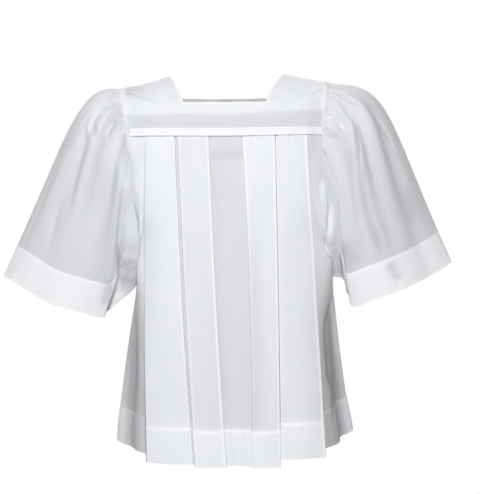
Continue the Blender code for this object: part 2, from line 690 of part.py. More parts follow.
def cloth_wall(name, points, outward, thickness, colour, closed=False, keep=None):
    """Makes one object: a wall of cloth about the middle surface `points`."""
    mesh = bmesh.new()
    vertices = {}

    def vertex(corner, level):
        if (corner, level) not in vertices:
            place = points[corner] + level * thickness / 2 * outward[corner]
            vertices[corner, level] = mesh.verts.new(place)
        return vertices[corner, level]

    edges = {}
    for corners in cell_corners(points.shape[:2], closed, keep):
        for level in (1, -1):
            a, b, c, d = (vertex(corner, level) for corner in corners)
            for triangle in ((a, b, c), (a, c, d)):
                mesh.faces.new(triangle if level == 1 else triangle[::-1])
        for start, end in zip(corners, corners[1:] + corners[:1]):
            if (end, start) in edges:
                del edges[end, start]
            else:
                edges[start, end] = True
    for start, end in edges:
        rim = (vertex(end, 1), vertex(start, 1), vertex(start, -1), vertex(end, -1))
        mesh.faces.new(rim[:3])
        mesh.faces.new((rim[0], rim[2], rim[3]))
    if mesh.calc_volume(signed=True) < 0:
        bmesh.ops.reverse_faces(mesh, faces=mesh.faces[:])
    data = bpy.data.meshes.new(name)
    mesh.to_mesh(data)
    mesh.free()
    data.materials.append(fabric(name, colour))
    piece = bpy.data.objects.new(name, data)
    bpy.context.scene.collection.objects.link(piece)
    return piece


def panel_steps():
    return {
        "side": SIDE_STEPS,
        "face": FACE_STEPS,
        "under": UNDER_STEPS,
        "centre": CENTRE_STEPS,
        "fold": FOLD_STEPS,
    }


def make_panel(face):
    """A pleated panel and the ply of its hem that is turned up inside."""
    name = FACE_NAMES[face]
    points, outward = panel_grid(face, PANEL_ROWS[face], panel_steps())
    cloth_wall(f"{name}_panel", points, outward, WALL, CLOTH_WHITE)
    points, outward = panel_grid(face, HEM_ROWS[face], panel_steps())
    cloth_wall(f"{name}_hem", points - PLY_LIFT * outward, outward, PLY, DOUBLED_WHITE)


def yoke_columns():
    """Columns of the whole yoke, and the first and last that the facing reaches."""
    plain = np.linspace(0, 1 - FACING_STRAP, STRAP_STEPS + 1)
    strap_columns = np.concatenate([plain, [1 - FACING_STRAP / 2, 1]])
    middle = np.linspace(1, 2, NECK_STEPS + 1)[1:-1]
    columns = np.concatenate([strap_columns, middle, 3 - strap_columns[::-1]])
    return columns, slice(STRAP_STEPS, len(columns) - STRAP_STEPS)


def make_yoke(face):
    """A yoke and the facing turned in along its neckline."""
    name = FACE_NAMES[face]
    columns, faced = yoke_columns()
    points, outward, cloth = yoke_grid(face, columns, YOKE_ROWS)
    points[0, :, 1] = face * GAP / 2
    points[-1, :, 2] += GAP / 2
    cloth_wall(f"yoke_{name}", points, outward, WALL, CLOTH_WHITE, keep=cloth)
    last = YOKE_ROWS.index(NECK_CORNER + FACING_DROP)
    points, outward = points[: last + 1, faced], outward[: last + 1, faced]
    keep = cloth[:last, faced.start : faced.stop - 1]
    cloth_wall(f"neck_facing_{name}", points - PLY_LIFT * outward, outward, PLY, DOUBLED_WHITE, keep=keep)


def make_band(face):
    """The flat strip over the seam of yoke and body."""
    x = np.linspace(-0.1795, 0.1805, 25)
    rows = []
    for rise in (BAND_DEPTH / 2, 0.0, -BAND_DEPTH / 2):
        z = smooth(JOIN[face]["x"], JOIN[face]["z"], x) + rise
        points, out, _ = base_cloth(face, turn_at_x(face, x, z), z)
        points = points + (seam_offset(x) + BAND_LIFT)[:, None] * out
        rows.append((points, out))
    points = np.stack([row[0] for row in rows])
    outward = np.stack([row[1] for row in rows])
    cloth_wall(f"yoke_band_{FACE_NAMES[face]}", points, outward, WALL, DOUBLED_WHITE)


def sleeve_wall(side, angles, cuff_top, row_values):
    """Points and outward directions of a sleeve: 0 to 1 above its hem, 1 to 2 the hem."""
    columns = []
    for angle, top in zip(angles, cuff_top):
        rows = np.interp(row_values, (0, 1, 2), (0, top, 1))
        columns.append(sleeve_grid(side, [angle], rows))
    points = np.concatenate([points for points, _ in columns], axis=1)
    return points, np.concatenate([outward for _, outward in columns], axis=1)


def make_sleeve(side):
    """A sleeve and the ply of its cuff that is turned up inside."""
    name = SIDE_NAMES[side]
    angles = sleeve_angles()
    cuff_top = cuff_share(side, angles)
    points, outward = sleeve_wall(side, angles, cuff_top, SLEEVE_ROWS)
    cloth_wall(f"sleeve_{name}", points, outward, WALL, CLOTH_WHITE, closed=True)
    points, outward = sleeve_wall(side, angles, cuff_top, CUFF_ROWS)
    cloth_wall(f"cuff_{name}", points - PLY_LIFT * outward, outward, PLY, DOUBLED_WHITE, closed=True)


def main():
    for thing in list(bpy.data.objects):
        bpy.data.objects.remove(thing, do_unlink=True)
    for face in (FRONT, BACK):
        make_yoke(face)
        make_band(face)
        make_panel(face)
    for side in (LEFT, RIGHT):
        make_sleeve(side)


main()
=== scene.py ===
"""Looks of a white square-yoke surplice: fine cloth, sewing, finishes and a plain studio."""

from __future__ import annotations

import json
import logging
import math
from dataclasses import dataclass, field, replace
from enum import Enum
from functools import cached_property
from typing import Any, Callable, Iterable

import bpy
import numpy as np
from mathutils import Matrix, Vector
from mathutils.kdtree import KDTree

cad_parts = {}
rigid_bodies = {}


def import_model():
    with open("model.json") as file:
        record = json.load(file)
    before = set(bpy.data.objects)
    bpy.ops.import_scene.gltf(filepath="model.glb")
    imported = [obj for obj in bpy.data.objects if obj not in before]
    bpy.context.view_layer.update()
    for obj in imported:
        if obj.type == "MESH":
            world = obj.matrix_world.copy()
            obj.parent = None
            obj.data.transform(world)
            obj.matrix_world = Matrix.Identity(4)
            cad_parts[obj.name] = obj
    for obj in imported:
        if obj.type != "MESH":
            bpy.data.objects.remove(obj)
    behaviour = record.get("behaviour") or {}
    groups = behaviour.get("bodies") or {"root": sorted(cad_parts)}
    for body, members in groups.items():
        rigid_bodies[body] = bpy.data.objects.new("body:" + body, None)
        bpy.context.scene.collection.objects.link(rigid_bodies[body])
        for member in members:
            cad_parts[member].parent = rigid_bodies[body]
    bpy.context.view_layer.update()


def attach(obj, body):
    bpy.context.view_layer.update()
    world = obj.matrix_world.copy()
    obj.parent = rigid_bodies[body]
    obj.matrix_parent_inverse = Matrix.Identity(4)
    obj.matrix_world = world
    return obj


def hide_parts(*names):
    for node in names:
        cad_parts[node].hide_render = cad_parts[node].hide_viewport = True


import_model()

LOG = logging.getLogger("surplice")
Table = dict[str, np.ndarray]  # columns by their names
Row = np.ndarray  # one value for each place
Grid = np.ndarray  # values by rows and columns
Socket = bpy.types.NodeSocket

SEAM_GAP = 0.0003  # between pieces that are sewn together
CLOTH_THICKNESS = 0.0008
PLY_THICKNESS = 0.0007
PLY_LIFT = 0.0014  # from the middle of the cloth to the middle of its turned-in ply
HEM_DEPTH = 0.065


class Face(Enum):
    """The two faces of the garment, as the sign of y."""

    FRONT = -1
    BACK = 1


class Side(Enum):
    """The two sides of the garment, as the sign of x."""

    LEFT = -1
    RIGHT = 1


class Layer(Enum):
    """The layers of cloth in a box pleat, from the body outwards."""

    BASE = 0
    UNDER = 1
    FACE = 2


class Profile(Enum):
    """How the cloth stands across a crease."""

    SOFT = 0  # a rounded trough or ridge
    SHARP = 1  # a narrow line with soft shoulders


def by_side(left: Any, right: Any) -> Any:
    """A field that holds one value for each side."""
    return field(default_factory=lambda: {Side.LEFT: left, Side.RIGHT: right})


# ---------------------------------------------------------------- numbers and curves
def table(names: str, *rows: tuple[float, ...]) -> Table:
    """Gives the columns of a table by their names.

    Args:
        names: the column names, with spaces between them.
        rows: the rows, each with one value a column.

    Returns:
        One array for each name.
    """
    return {name: np.array(column, float) for name, column in zip(names.split(), zip(*rows))}


def smooth(keys: Row, values: Row, at: Row | float) -> Row:
    """Reads a smooth curve through given points.

    Args:
        keys: places of the points, in any order.
        values: the curve's values there.
        at: where the curve is read.

    Returns:
        The values at `at`, held at the ends.
    """
    order = np.argsort(keys)
    keys, values = keys[order], values[order]
    slopes = np.gradient(values, keys)
    low = np.clip(np.searchsorted(keys, at) - 1, 0, len(keys) - 2)
    step = keys[low + 1] - keys[low]
    s = np.clip((at - keys[low]) / step, 0, 1)
    rise = values[low + 1] - values[low]
    start, end = slopes[low] * step, slopes[low + 1] * step
    return values[low] + s * (start + s * (3 * rise - 2 * start - end + s * (start + end - 2 * rise)))


def smooth_round(keys: Row, values: Row, at: Row) -> Row:
    """Reads a closed smooth curve whose keys are degrees.

    Args:
        keys: angles of the points.
        values: the curve's values there.
        at: angles at which it is read.

    Returns:
        The values at `at`.
    """
    keys = np.concatenate([keys - 360, keys, keys + 360])
    return smooth(keys, np.tile(values, 3), np.mod(at, 360))


def ease(value: Row | float) -> Row:
    """Turns 0 to 1 into 0 to 1 with soft ends."""
    value = np.clip(value, 0, 1)
    return value * value * (3 - 2 * value)


def bell(value: Row) -> Row:
    """A bell curve that is 1 at 0."""
    return np.exp(-(value**2))


def mix(first: Row | float, second: Row | float, share: Row | float) -> Row:
    """The value a share of the way from the first to the second."""
    return first + (second - first) * share


def unit(vectors: Row) -> Row:
    """The vectors at length 1."""
    return vectors / np.maximum(np.linalg.norm(vectors, axis=-1, keepdims=True), 1e-12)


def distances_along(points: Grid) -> Row:
    """Distance along a line of points, at each of them."""
    return np.concatenate([[0], np.cumsum(np.linalg.norm(np.diff(points, axis=0), axis=1))])


def ripple(at: Row, across: Row, seed: int, size: float, stretch: float = 3.0) -> Row:
    """Makes soft uneven waves in the cloth, long in one direction.

    Args:
        at: distance along the long direction, in metres.
        across: distance across it, in metres.
        seed: which set of waves.
        size: usual width of a wave, in metres.
        stretch: how many times longer than wide a wave is.

    Returns:
        Heights from about -1 to 1.
    """
    draw = np.random.default_rng(seed)
    total = np.zeros(np.broadcast(at, across).shape)
    for _ in range(9):
        turn = draw.normal(0, 0.5 / stretch)
        rate = 2 * math.pi / (size * draw.uniform(0.7, 1.9))
        phase = draw.uniform(0, 2 * math.pi)
        total += np.sin(rate * (across * math.cos(turn) + at * math.sin(turn)) + phase)
    return total / 3.5


def normals_of(points: Grid, closed: bool = False) -> Grid:
    """Finds the directions square to a grid of points.

    Args:
        points: rows by columns of points.
        closed: whether the last column meets the first.

    Returns:
        Unit vectors, in the sense of columns crossed with rows.
    """
    if closed:
        wide = np.concatenate([points[:, -1:], points, points[:, :1]], axis=1)
        across = np.gradient(wide, axis=1)[:, 1:-1]
    else:
        across = np.gradient(points, axis=1)
    return unit(np.cross(across, np.gradient(points, axis=0)))


# ---------------------------------------------------------------- cloth
@dataclass(frozen=True)
class Crease:
    """A crease, fold or drag line in worn cloth, drawn on the face that it lies on."""

    path: tuple[tuple[float, float], ...]  # (x, z) of the points along it
    width: float  # half width, in metres
    out: float  # height over the cloth, below zero for a trough
    profile: Profile
    fade: tuple[float, float]  # shares of its length over which it starts and ends
    tone: float  # painted shade along it, below zero a painted highlight

    def strength(self, x: Grid, z: Grid) -> Grid:
        """Gives how strong the crease is at points of the face.

        Args:
            x: places across the garment.
            z: places up it.

        Returns:
            1 on the crease and 0 away from it.
        """
        places = np.array(self.path)
        steps = np.linalg.norm(np.diff(places, axis=0), axis=1)
        reached = np.concatenate([[0], np.cumsum(steps)]) / steps.sum()
        near = np.full(x.shape, 1e9)
        along = np.zeros(x.shape)
        for index, step in enumerate(steps):
            (x0, z0), (x1, z1) = places[index], places[index + 1]
            ux, uz = (x1 - x0) / step, (z1 - z0) / step
            share = np.clip(((x - x0) * ux + (z - z0) * uz) / step, 0, 1)
            distance = np.hypot(x - x0 - share * step * ux, z - z0 - share * step * uz)
            closer = distance < near
            near = np.where(closer, distance, near)
            along = np.where(closer, mix(reached[index], reached[index + 1], share), along)
        ends = ease(along / max(self.fade[0], 1e-3)) * ease((1 - along) / max(self.fade[1], 1e-3))
        ends = ends * np.where((along <= 0) | (along >= 1), 0.0, 1.0)
        apart = near / self.width
        if self.profile is Profile.SHARP:
            return ends * (0.6 * np.exp(-2.2 * apart) + 0.4 * bell(apart))
        return ends * bell(apart)


SOFT, SHARP = Profile.SOFT, Profile.SHARP


def crease_table(*rows: tuple) -> tuple[Crease, ...]:
    """Gives the creases of a table.

    Args:
        rows: for each crease its profile, half width, height, the shares of its length over which
        it starts and ends, its painted shade (below zero a painted highlight), and then the points along it.

    Returns:
        The creases.
    """
    return tuple(
        Crease(tuple(points), width, out, profile, (starts, ends), tone)
        for profile, width, out, starts, ends, tone, *points in rows
    )


def crease_heights(creases: Iterable[Crease], x: Grid, z: Grid) -> Grid:
    """How far several creases together move the cloth out."""
    return sum((crease.out * crease.strength(x, z) for crease in creases), np.zeros(x.shape))


def crease_painted_shading(creases: Iterable[Crease], x: Grid, z: Grid) -> Grid:
    """The painted shade of several creases together, below zero painted highlight."""
    return sum((crease.tone * crease.strength(x, z) for crease in creases if crease.tone), np.zeros(x.shape))


def echoed(creases: Iterable[Crease], seed: int) -> tuple[Crease, ...]:
    """Makes similar creases for the hidden side of a piece, each a little moved and weaker.

    Args:
        creases: the creases of the side that shows.
        seed: of the random draw.

    Returns:
        The new creases.
    """
    draw = np.random.default_rng(seed)
    found = []
    for crease in creases:
        across, up = draw.uniform(-0.007, 0.007), draw.uniform(-0.012, 0.012)
        path = tuple((x + across, z + up) for x, z in crease.path)
        strength = draw.uniform(0.6, 1.0)
        found.append(replace(crease, path=path, out=strength * crease.out, tone=0.5 * crease.tone))
    return tuple(found)


@dataclass
class ClothGrid:
    """Middle surface of a piece of cloth, with what its finish reads at each point."""

    points: Grid
    outward: Grid
    across: Grid  # distance over the cloth along the weft, in metres
    along: Grid  # distance down the cloth along the warp, in metres
    layers: Grid  # 1 where the cloth is doubled, 0 where it is single, below 0 painted shade; creases and sides add painted shade and highlight
    pressed: Grid  # 1 on a pressed edge or seam, with painted highlight along folds, seams, hems, band and cuffs
    closed: bool = False
    keep: Grid | None = None

    def part(self, rows: tuple[int, int], columns: tuple[int, int] | None = None) -> ClothGrid:
        """Cuts a part out of the grid.

        Args:
            rows: its first and last row.
            columns: its first and last column, or None for all of them.

        Returns:
            The part, as a grid of its own.
        """
        down = slice(rows[0], rows[1] + 1)
        wide = slice(None) if columns is None else slice(columns[0], columns[1] + 1)
        cells = slice(None) if columns is None else slice(*columns)
        keep = None if self.keep is None else self.keep[rows[0] : rows[1], cells]
        fields = (self.points, self.outward, self.across, self.along, self.layers, self.pressed)
        return ClothGrid(*(values[down, wide].copy() for values in fields), self.closed, keep)

    def moved(self, distance: float) -> ClothGrid:
        """The same grid, moved out by a distance."""
        return replace(self, points=self.points + distance * self.outward)

    def ply(self, rows: tuple[int, int]) -> ClothGrid:
        """The ply turned up behind some rows, white as doubled cloth is."""
        inner = self.part(rows).moved(-PLY_LIFT)
        return replace(inner, layers=np.ones(inner.layers.shape))


def placed(name: str, mesh: bpy.types.Mesh, finish: Finish) -> bpy.types.Object:
    """Makes the object of a mesh and puts it in the scene.

    Args:
        name: its name.
        mesh: its mesh.
        finish: what it is finished with.

    Returns:
        The object.
    """
    mesh.materials.append(finish.material())
    piece = bpy.data.objects.new(name, mesh)
    bpy.context.scene.collection.objects.link(piece)
    return piece


def kept_clear(points: Grid, others: Iterable[ClothGrid], room: Grid) -> Grid:
    """Moves points of a cloth out of the cloth that they lie against.

    Args:
        points: the points.
        others: what they lie against.
        room: least distance between the two, for each point.

    Returns:
        The moved points.
    """
    moved = points.reshape(-1, 3).copy()
    room = room.reshape(-1)
    reach = 0.030
    low, high = moved.min(axis=0) - reach, moved.max(axis=0) + reach
    for other in others:
        near = ((other.points > low) & (other.points < high)).all(axis=-1)
        places, outward = other.points[near], other.outward[near]
        tree = KDTree(len(places))
        for index, place in enumerate(places):
            tree.insert(place, index)
        tree.balance()
        for index in np.flatnonzero(room > 0):
            _, found, distance = tree.find(moved[index])
            gap = float((moved[index] - places[found]) @ outward[found])
            if distance < reach and gap < room[index]:
                moved[index] += (room[index] - gap) * outward[found]
    return moved.reshape(points.shape)


@dataclass
class ClothPiece:
    """Makes the object of one cut piece of cloth: a thin closed shell with soft normals."""

    node: str  # of the solid that it replaces
    grid: ClothGrid
    thickness: float = CLOTH_THICKNESS

    def cells(self) -> Row:
        """Lists the cells of the grid that are cloth.

        Returns:
            Four point numbers for each cell.
        """
        rows, columns = self.grid.points.shape[:2]
        wide = columns if self.grid.closed else columns - 1
        i, j = np.meshgrid(np.arange(rows - 1), np.arange(wide), indexing="ij")
        used = np.ones(i.shape, bool) if self.grid.keep is None else self.grid.keep.astype(bool)
        i, j = i[used], j[used]
        k = (j + 1) % columns
        corners = (i * columns + j, i * columns + k, (i + 1) * columns + k, (i + 1) * columns + j)
        return np.stack(corners, axis=-1)

    def rim(self, cells: Row) -> Row:
        """Finds the edges that belong to one cell alone.

        Args:
            cells: the cells of the grid.

        Returns:
            Start and end of each open edge.
        """
        edges = np.concatenate([cells[:, [n, (n + 1) % 4]] for n in range(4)])
        ordered = np.sort(edges, axis=1)
        _, first, count = np.unique(ordered, axis=0, return_index=True, return_counts=True)
        return edges[first[count == 1]]

    def build(self) -> bpy.types.Object:
        """Makes the mesh, its attributes and its object.

        Returns:
            The new object, linked to the scene.
        """
        grid = self.grid
        half = self.thickness / 2 * grid.outward
        vertices = np.concatenate([(grid.points + half).reshape(-1, 3), (grid.points - half).reshape(-1, 3)])
        count = len(vertices) // 2
        cells = self.cells()
        rim = self.rim(cells)
        sides = np.stack([rim[:, 1], rim[:, 0], rim[:, 0] + count, rim[:, 1] + count], axis=-1)
        faces = np.concatenate([cells, cells[:, ::-1] + count, sides])
        if signed_volume(vertices, faces) < 0:
            faces = faces[:, ::-1]
        used = np.unique(faces)
        renumber = np.zeros(2 * count, np.int64)
        renumber[used] = np.arange(len(used))
        name = f"cloth_{self.node}"
        mesh = bpy.data.meshes.new(name)
        mesh.from_pydata(vertices[used].tolist(), [], renumber[faces].tolist())
        self.write_attributes(mesh, used % count, faces % count)
        self.soften(mesh, len(sides))
        piece = placed(name, mesh, CLOTH)
        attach(piece, "root")
        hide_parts(self.node)
        return piece

    def write_attributes(self, mesh: bpy.types.Mesh, numbers: Row, corners: Row) -> None:
        """Writes what the finish reads: the place on the cloth at each corner, the rest at each point.

        Args:
            mesh: the mesh of the piece.
            numbers: the grid point that each vertex comes from.
            corners: the grid points of each face.
        """
        grid = self.grid
        lay = np.stack([grid.across, grid.along, 0 * grid.along], axis=-1).reshape(-1, 3)[corners]
        if grid.closed:
            columns = grid.points.shape[1]
            at_seam = (corners % columns == columns - 1).any(axis=1)
            closing = np.linalg.norm(grid.points[:, 0] - grid.points[:, -1], axis=1).mean()
            past = at_seam[:, None] & (corners % columns == 0)
            lay[..., 0] += past * (grid.across.max() + closing)
        mesh.attributes.new("lay", "FLOAT_VECTOR", "CORNER").data.foreach_set("vector", lay.ravel())
        for name, values in (("layers", grid.layers), ("pressed", grid.pressed)):
            attribute = mesh.attributes.new(name, "FLOAT", "POINT")
            attribute.data.foreach_set("value", values.ravel()[numbers].astype(np.float32))

    def soften(self, mesh: bpy.types.Mesh, rim_faces: int) -> None:
        """Shades the cloth smooth and keeps its cut edges sharp.

        Args:
            mesh: the mesh of the piece.
            rim_faces: how many faces at the end of the list lie on the cut edges.
        """
        mesh.shade_smooth()
        edge_of = np.zeros(len(mesh.loops), np.int32)
        mesh.loops.foreach_get("edge_index", edge_of)
        sharp = np.zeros(len(mesh.edges), bool)
        first = len(mesh.loops) - 4 * rim_faces
        rim_loops = edge_of[first:].reshape(-1, 4)
        sharp[rim_loops[:, 0]] = True
        sharp[rim_loops[:, 2]] = True
        marks = mesh.attributes.new("sharp_edge", "BOOLEAN", "EDGE")
        marks.data.foreach_set("value", sharp)


def signed_volume(vertices: Row, faces: Row) -> float:
    """The volume inside a closed mesh of four-sided faces, below zero where it is inside out."""
    a, b, c, d = (vertices[faces[:, n]] for n in range(4))
    return float((np.cross(a, b) * c).sum() + (np.cross(a, c) * d).sum())


# ---------------------------------------------------------------- finishes
@dataclass(frozen=True)
class Finish:
    """A finish of the garment, made of shader nodes."""

    name: str

    def material(self) -> bpy.types.Material:
        """The finish's material, made once."""
        known = bpy.data.materials.get(self.name)
        return known if known else self.make()

    def make(self) -> bpy.types.Material:
        """Makes the material. Each finish has its own."""
        raise NotImplementedError


class Wiring:
    """Short ways to add and join the nodes of one material."""

    def __init__(self, name: str) -> None:
        """Starts an empty material.

        Args:
            name: its name.
        """
        self.data = bpy.data.materials.new(name)
        self.data.use_nodes = True
        self.tree = self.data.node_tree
        self.tree.nodes.clear()

    def node(self, kind: str, **settings: object) -> bpy.types.Node:
        """Adds a node.

        Args:
            kind: its type, without ShaderNode.
            **settings: its properties.

        Returns:
            The node.
        """
        made = self.tree.nodes.new(f"ShaderNode{kind}")
        for setting, value in settings.items():
            setattr(made, setting, value)
        return made

    def feed(self, node: bpy.types.Node, sources: dict[str | int, object]) -> bpy.types.Node:
        """Sets sockets of a node to numbers or colours, or links them to other sockets.

        Args:
            node: the node.
            sources: what each of its sockets gets.

        Returns:
            The node.
        """
        for name, source in sources.items():
            if isinstance(source, Socket):
                self.tree.links.new(source, node.inputs[name])
            else:
                node.inputs[name].default_value = source
        return node

    def sum_of(self, operation: str, *values: object, clamp: bool = False) -> Socket:
        """Adds a Math node and gives its result."""
        made = self.node("Math", operation=operation, use_clamp=clamp)
        return self.feed(made, dict(enumerate(values))).outputs["Value"]

    def attribute(self, name: str, output: str = "Fac") -> Socket:
        """Reads what the mesh says at each point."""
        return self.node("Attribute", attribute_name=name).outputs[output]

    def noise(self, place: object, scale: float, detail: float = 2.0, rough: float = 0.5) -> Socket:
        """Adds soft noise, from 0 to 1."""
        sources = {"Vector": place, "Scale": scale, "Detail": detail, "Roughness": rough}
        return self.feed(self.node("TexNoise"), sources).outputs["Fac"]

    def stretched(self, place: object, across: float, along: float) -> Socket:
        """Scales a place on the cloth, across and along."""
        made = self.node("VectorMath", operation="MULTIPLY")
        return self.feed(made, {0: place, 1: (across, along, 1.0)}).outputs["Vector"]

    def blend(self, share: object, first: object, second: object, way: str = "MIX") -> Socket:
        """Mixes two colours."""
        made = self.node("Mix", data_type="RGBA", blend_type=way)
        return self.feed(made, {0: share, 6: first, 7: second}).outputs[2]

    def bump(self, height: object, distance: float, strength: float, **under: object) -> Socket:
        """Adds a bump, over another one if its Normal is given."""
        sources = {"Height": height, "Distance": distance, "Strength": strength, **under}
        return self.feed(self.node("Bump"), sources).outputs["Normal"]

    def finished(self, shader: bpy.types.Node) -> bpy.types.Material:
        """Puts the last shader on the surface and gives the material."""
        self.feed(self.node("OutputMaterial"), {"Surface": shader.outputs[0]})
        return self.data


@dataclass(frozen=True)
class WovenCloth(Finish):
    """White plain-woven cloth, whiter where it is doubled, with painted shade and painted highlights along
    its pressed edges and seams.
    """

    # shaded is the colour of painted shade; edge is the colour of painted highlight on pressed edges and
    # seams
    shaded: tuple[float, float, float] = (0.200, 0.204, 0.214)
    single: tuple[float, float, float] = (0.480, 0.487, 0.500)
    doubled: tuple[float, float, float] = (0.850, 0.866, 0.890)
    edge: tuple[float, float, float] = (0.985, 0.972, 0.985)
    thread_pitch: float = 0.0007  # between neighbouring threads, in metres
    thread_height: float = 0.00006
    crumple_size: float = 0.030  # between the small dents that wear leaves
    crumple_height: float = 0.0011
    glow: float = 0.10  # share of light that comes through the cloth

    def make(self) -> bpy.types.Material:
        """Makes the weave, its slubs, its colour by layers and its small dents.

        Returns:
            The material.
        """
        wiring = Wiring(self.name)
        lay = wiring.attribute("lay", "Vector")
        colour, normal = self.colour(wiring, lay), self.relief(wiring, lay)
        sleek = wiring.noise(wiring.stretched(lay, 60.0, 9.0), 1.0)
        face = {
            "Sheen Weight": 0.22,
            "Sheen Roughness": 0.45,
            "Sheen Tint": (0.96, 0.98, 1.0, 1.0),
            "Specular IOR Level": 0.28,
            "Base Color": colour,
            "Normal": normal,
            "Roughness": wiring.sum_of("MULTIPLY_ADD", sleek, 0.22, 0.52),
        }
        shader = wiring.feed(wiring.node("BsdfPrincipled"), face)
        through = wiring.feed(wiring.node("BsdfTranslucent"), {"Color": colour, "Normal": normal})
        layers = {"Fac": self.glow, 1: shader.outputs["BSDF"], 2: through.outputs["BSDF"]}
        return wiring.finished(wiring.feed(wiring.node("MixShader"), layers))

    def colour(self, wiring: Wiring, lay: Socket) -> Socket:
        """Makes the colour: greyer single cloth, whiter doubled cloth, painted shade, painted highlights on
        edges, uneven threads.

        Args:
            wiring: the material's nodes.
            lay: place on the cloth.

        Returns:
            The colour socket.
        """
        layers = wiring.attribute("layers")
        uneven = wiring.noise(wiring.stretched(lay, 28.0, 7.0), 1.0, 3.0)
        lowered = wiring.sum_of("SUBTRACT", layers, 0.06)
        shifted = wiring.sum_of("MULTIPLY_ADD", uneven, 0.12, lowered, clamp=True)
        body = wiring.blend(shifted, (*self.single, 1.0), (*self.doubled, 1.0))
        # Below zero the layers attribute mixes in painted shade; the pressed-edge attribute mixes in painted
        # highlight.
        below = wiring.sum_of("MULTIPLY", layers, -1.0, clamp=True)
        body = wiring.blend(below, body, (*self.shaded, 1.0))
        body = wiring.blend(wiring.attribute("pressed"), body, (*self.edge, 1.0))
        warp = wiring.noise(wiring.stretched(lay, 1400.0, 22.0), 1.0, 1.0)
        weft = wiring.noise(wiring.stretched(lay, 22.0, 1400.0), 1.0, 1.0)
        threads = wiring.sum_of("ADD", warp, weft)
        slub = wiring.sum_of("MULTIPLY_ADD", threads, 0.06, 0.94)
        shade = wiring.feed(wiring.node("CombineColor"), dict.fromkeys(("Red", "Green", "Blue"), slub))
        return wiring.blend(1.0, body, shade.outputs["Color"], "MULTIPLY")

    def relief(self, wiring: Wiring, lay: Socket) -> Socket:
        """Makes the bumps: small dents, then slubs, then the threads of the weave.

        Args:
            wiring: the material's nodes.
            lay: place on the cloth.

        Returns:
            The normal socket.
        """
        size = 1.0 / self.crumple_size
        dents = wiring.noise(wiring.stretched(lay, size, size * 0.45), 1.0, 3.0, 0.55)
        soft = wiring.bump(dents, self.crumple_height, 0.55)
        rate = math.pi / self.thread_pitch
        parts = wiring.feed(wiring.node("SeparateXYZ"), {"Vector": lay})
        waves = (wiring.sum_of("SINE", wiring.sum_of("MULTIPLY", parts.outputs[axis], rate)) for axis in "XY")
        return wiring.bump(wiring.sum_of("MULTIPLY", *waves), self.thread_height, 0.5, Normal=soft)


@dataclass(frozen=True)
class SewingThread(Finish):
    """Twisted white sewing thread."""

    tone: tuple[float, float, float] = (0.93, 0.94, 0.96)
    twist: float = 2600.0  # turns of the ply a metre, as bands

    def make(self) -> bpy.types.Material:
        """Makes the thread's twist and its soft shine.

        Returns:
            The material.
        """
        wiring = Wiring(self.name)
        place = wiring.node("TexCoord").outputs["Object"]
        wave = wiring.node("TexWave", wave_type="BANDS", bands_direction="DIAGONAL")
        bands = wiring.feed(wave, {"Vector": place, "Scale": self.twist, "Distortion": 1.5}).outputs["Fac"]
        dark = tuple(0.82 * channel for channel in self.tone)
        surface = {
            "Sheen Weight": 0.3,
            "Specular IOR Level": 0.4,
            "Base Color": wiring.blend(bands, (*dark, 1.0), (*self.tone, 1.0)),
            "Normal": wiring.bump(bands, 0.00004, 0.6),
            "Roughness": wiring.sum_of("MULTIPLY_ADD", bands, 0.2, 0.4),
        }
        return wiring.finished(wiring.feed(wiring.node("BsdfPrincipled"), surface))


@dataclass(frozen=True)
class PaleFloor(Finish):
    """The studio's plain pale floor."""

    tone: tuple[float, float, float] = (0.93, 0.93, 0.93)

    def make(self) -> bpy.types.Material:
        """Makes the floor: matt and pale, with a faint unevenness.

        Returns:
            The material.
        """
        wiring = Wiring(self.name)
        place = wiring.node("TexCoord").outputs["Object"]
        cloud = wiring.noise(place, 0.8)
        low = tuple(0.985 * channel for channel in self.tone)
        colour = wiring.blend(cloud, (*low, 1.0), (*self.tone, 1.0))
        surface = {"Roughness": 0.9, "Specular IOR Level": 0.1, "Base Color": colour}
        return wiring.finished(wiring.feed(wiring.node("BsdfPrincipled"), surface))


CLOTH = WovenCloth("white_woven_cloth")
THREAD = SewingThread("white_sewing_thread")
FLOOR = PaleFloor("pale_studio_floor")


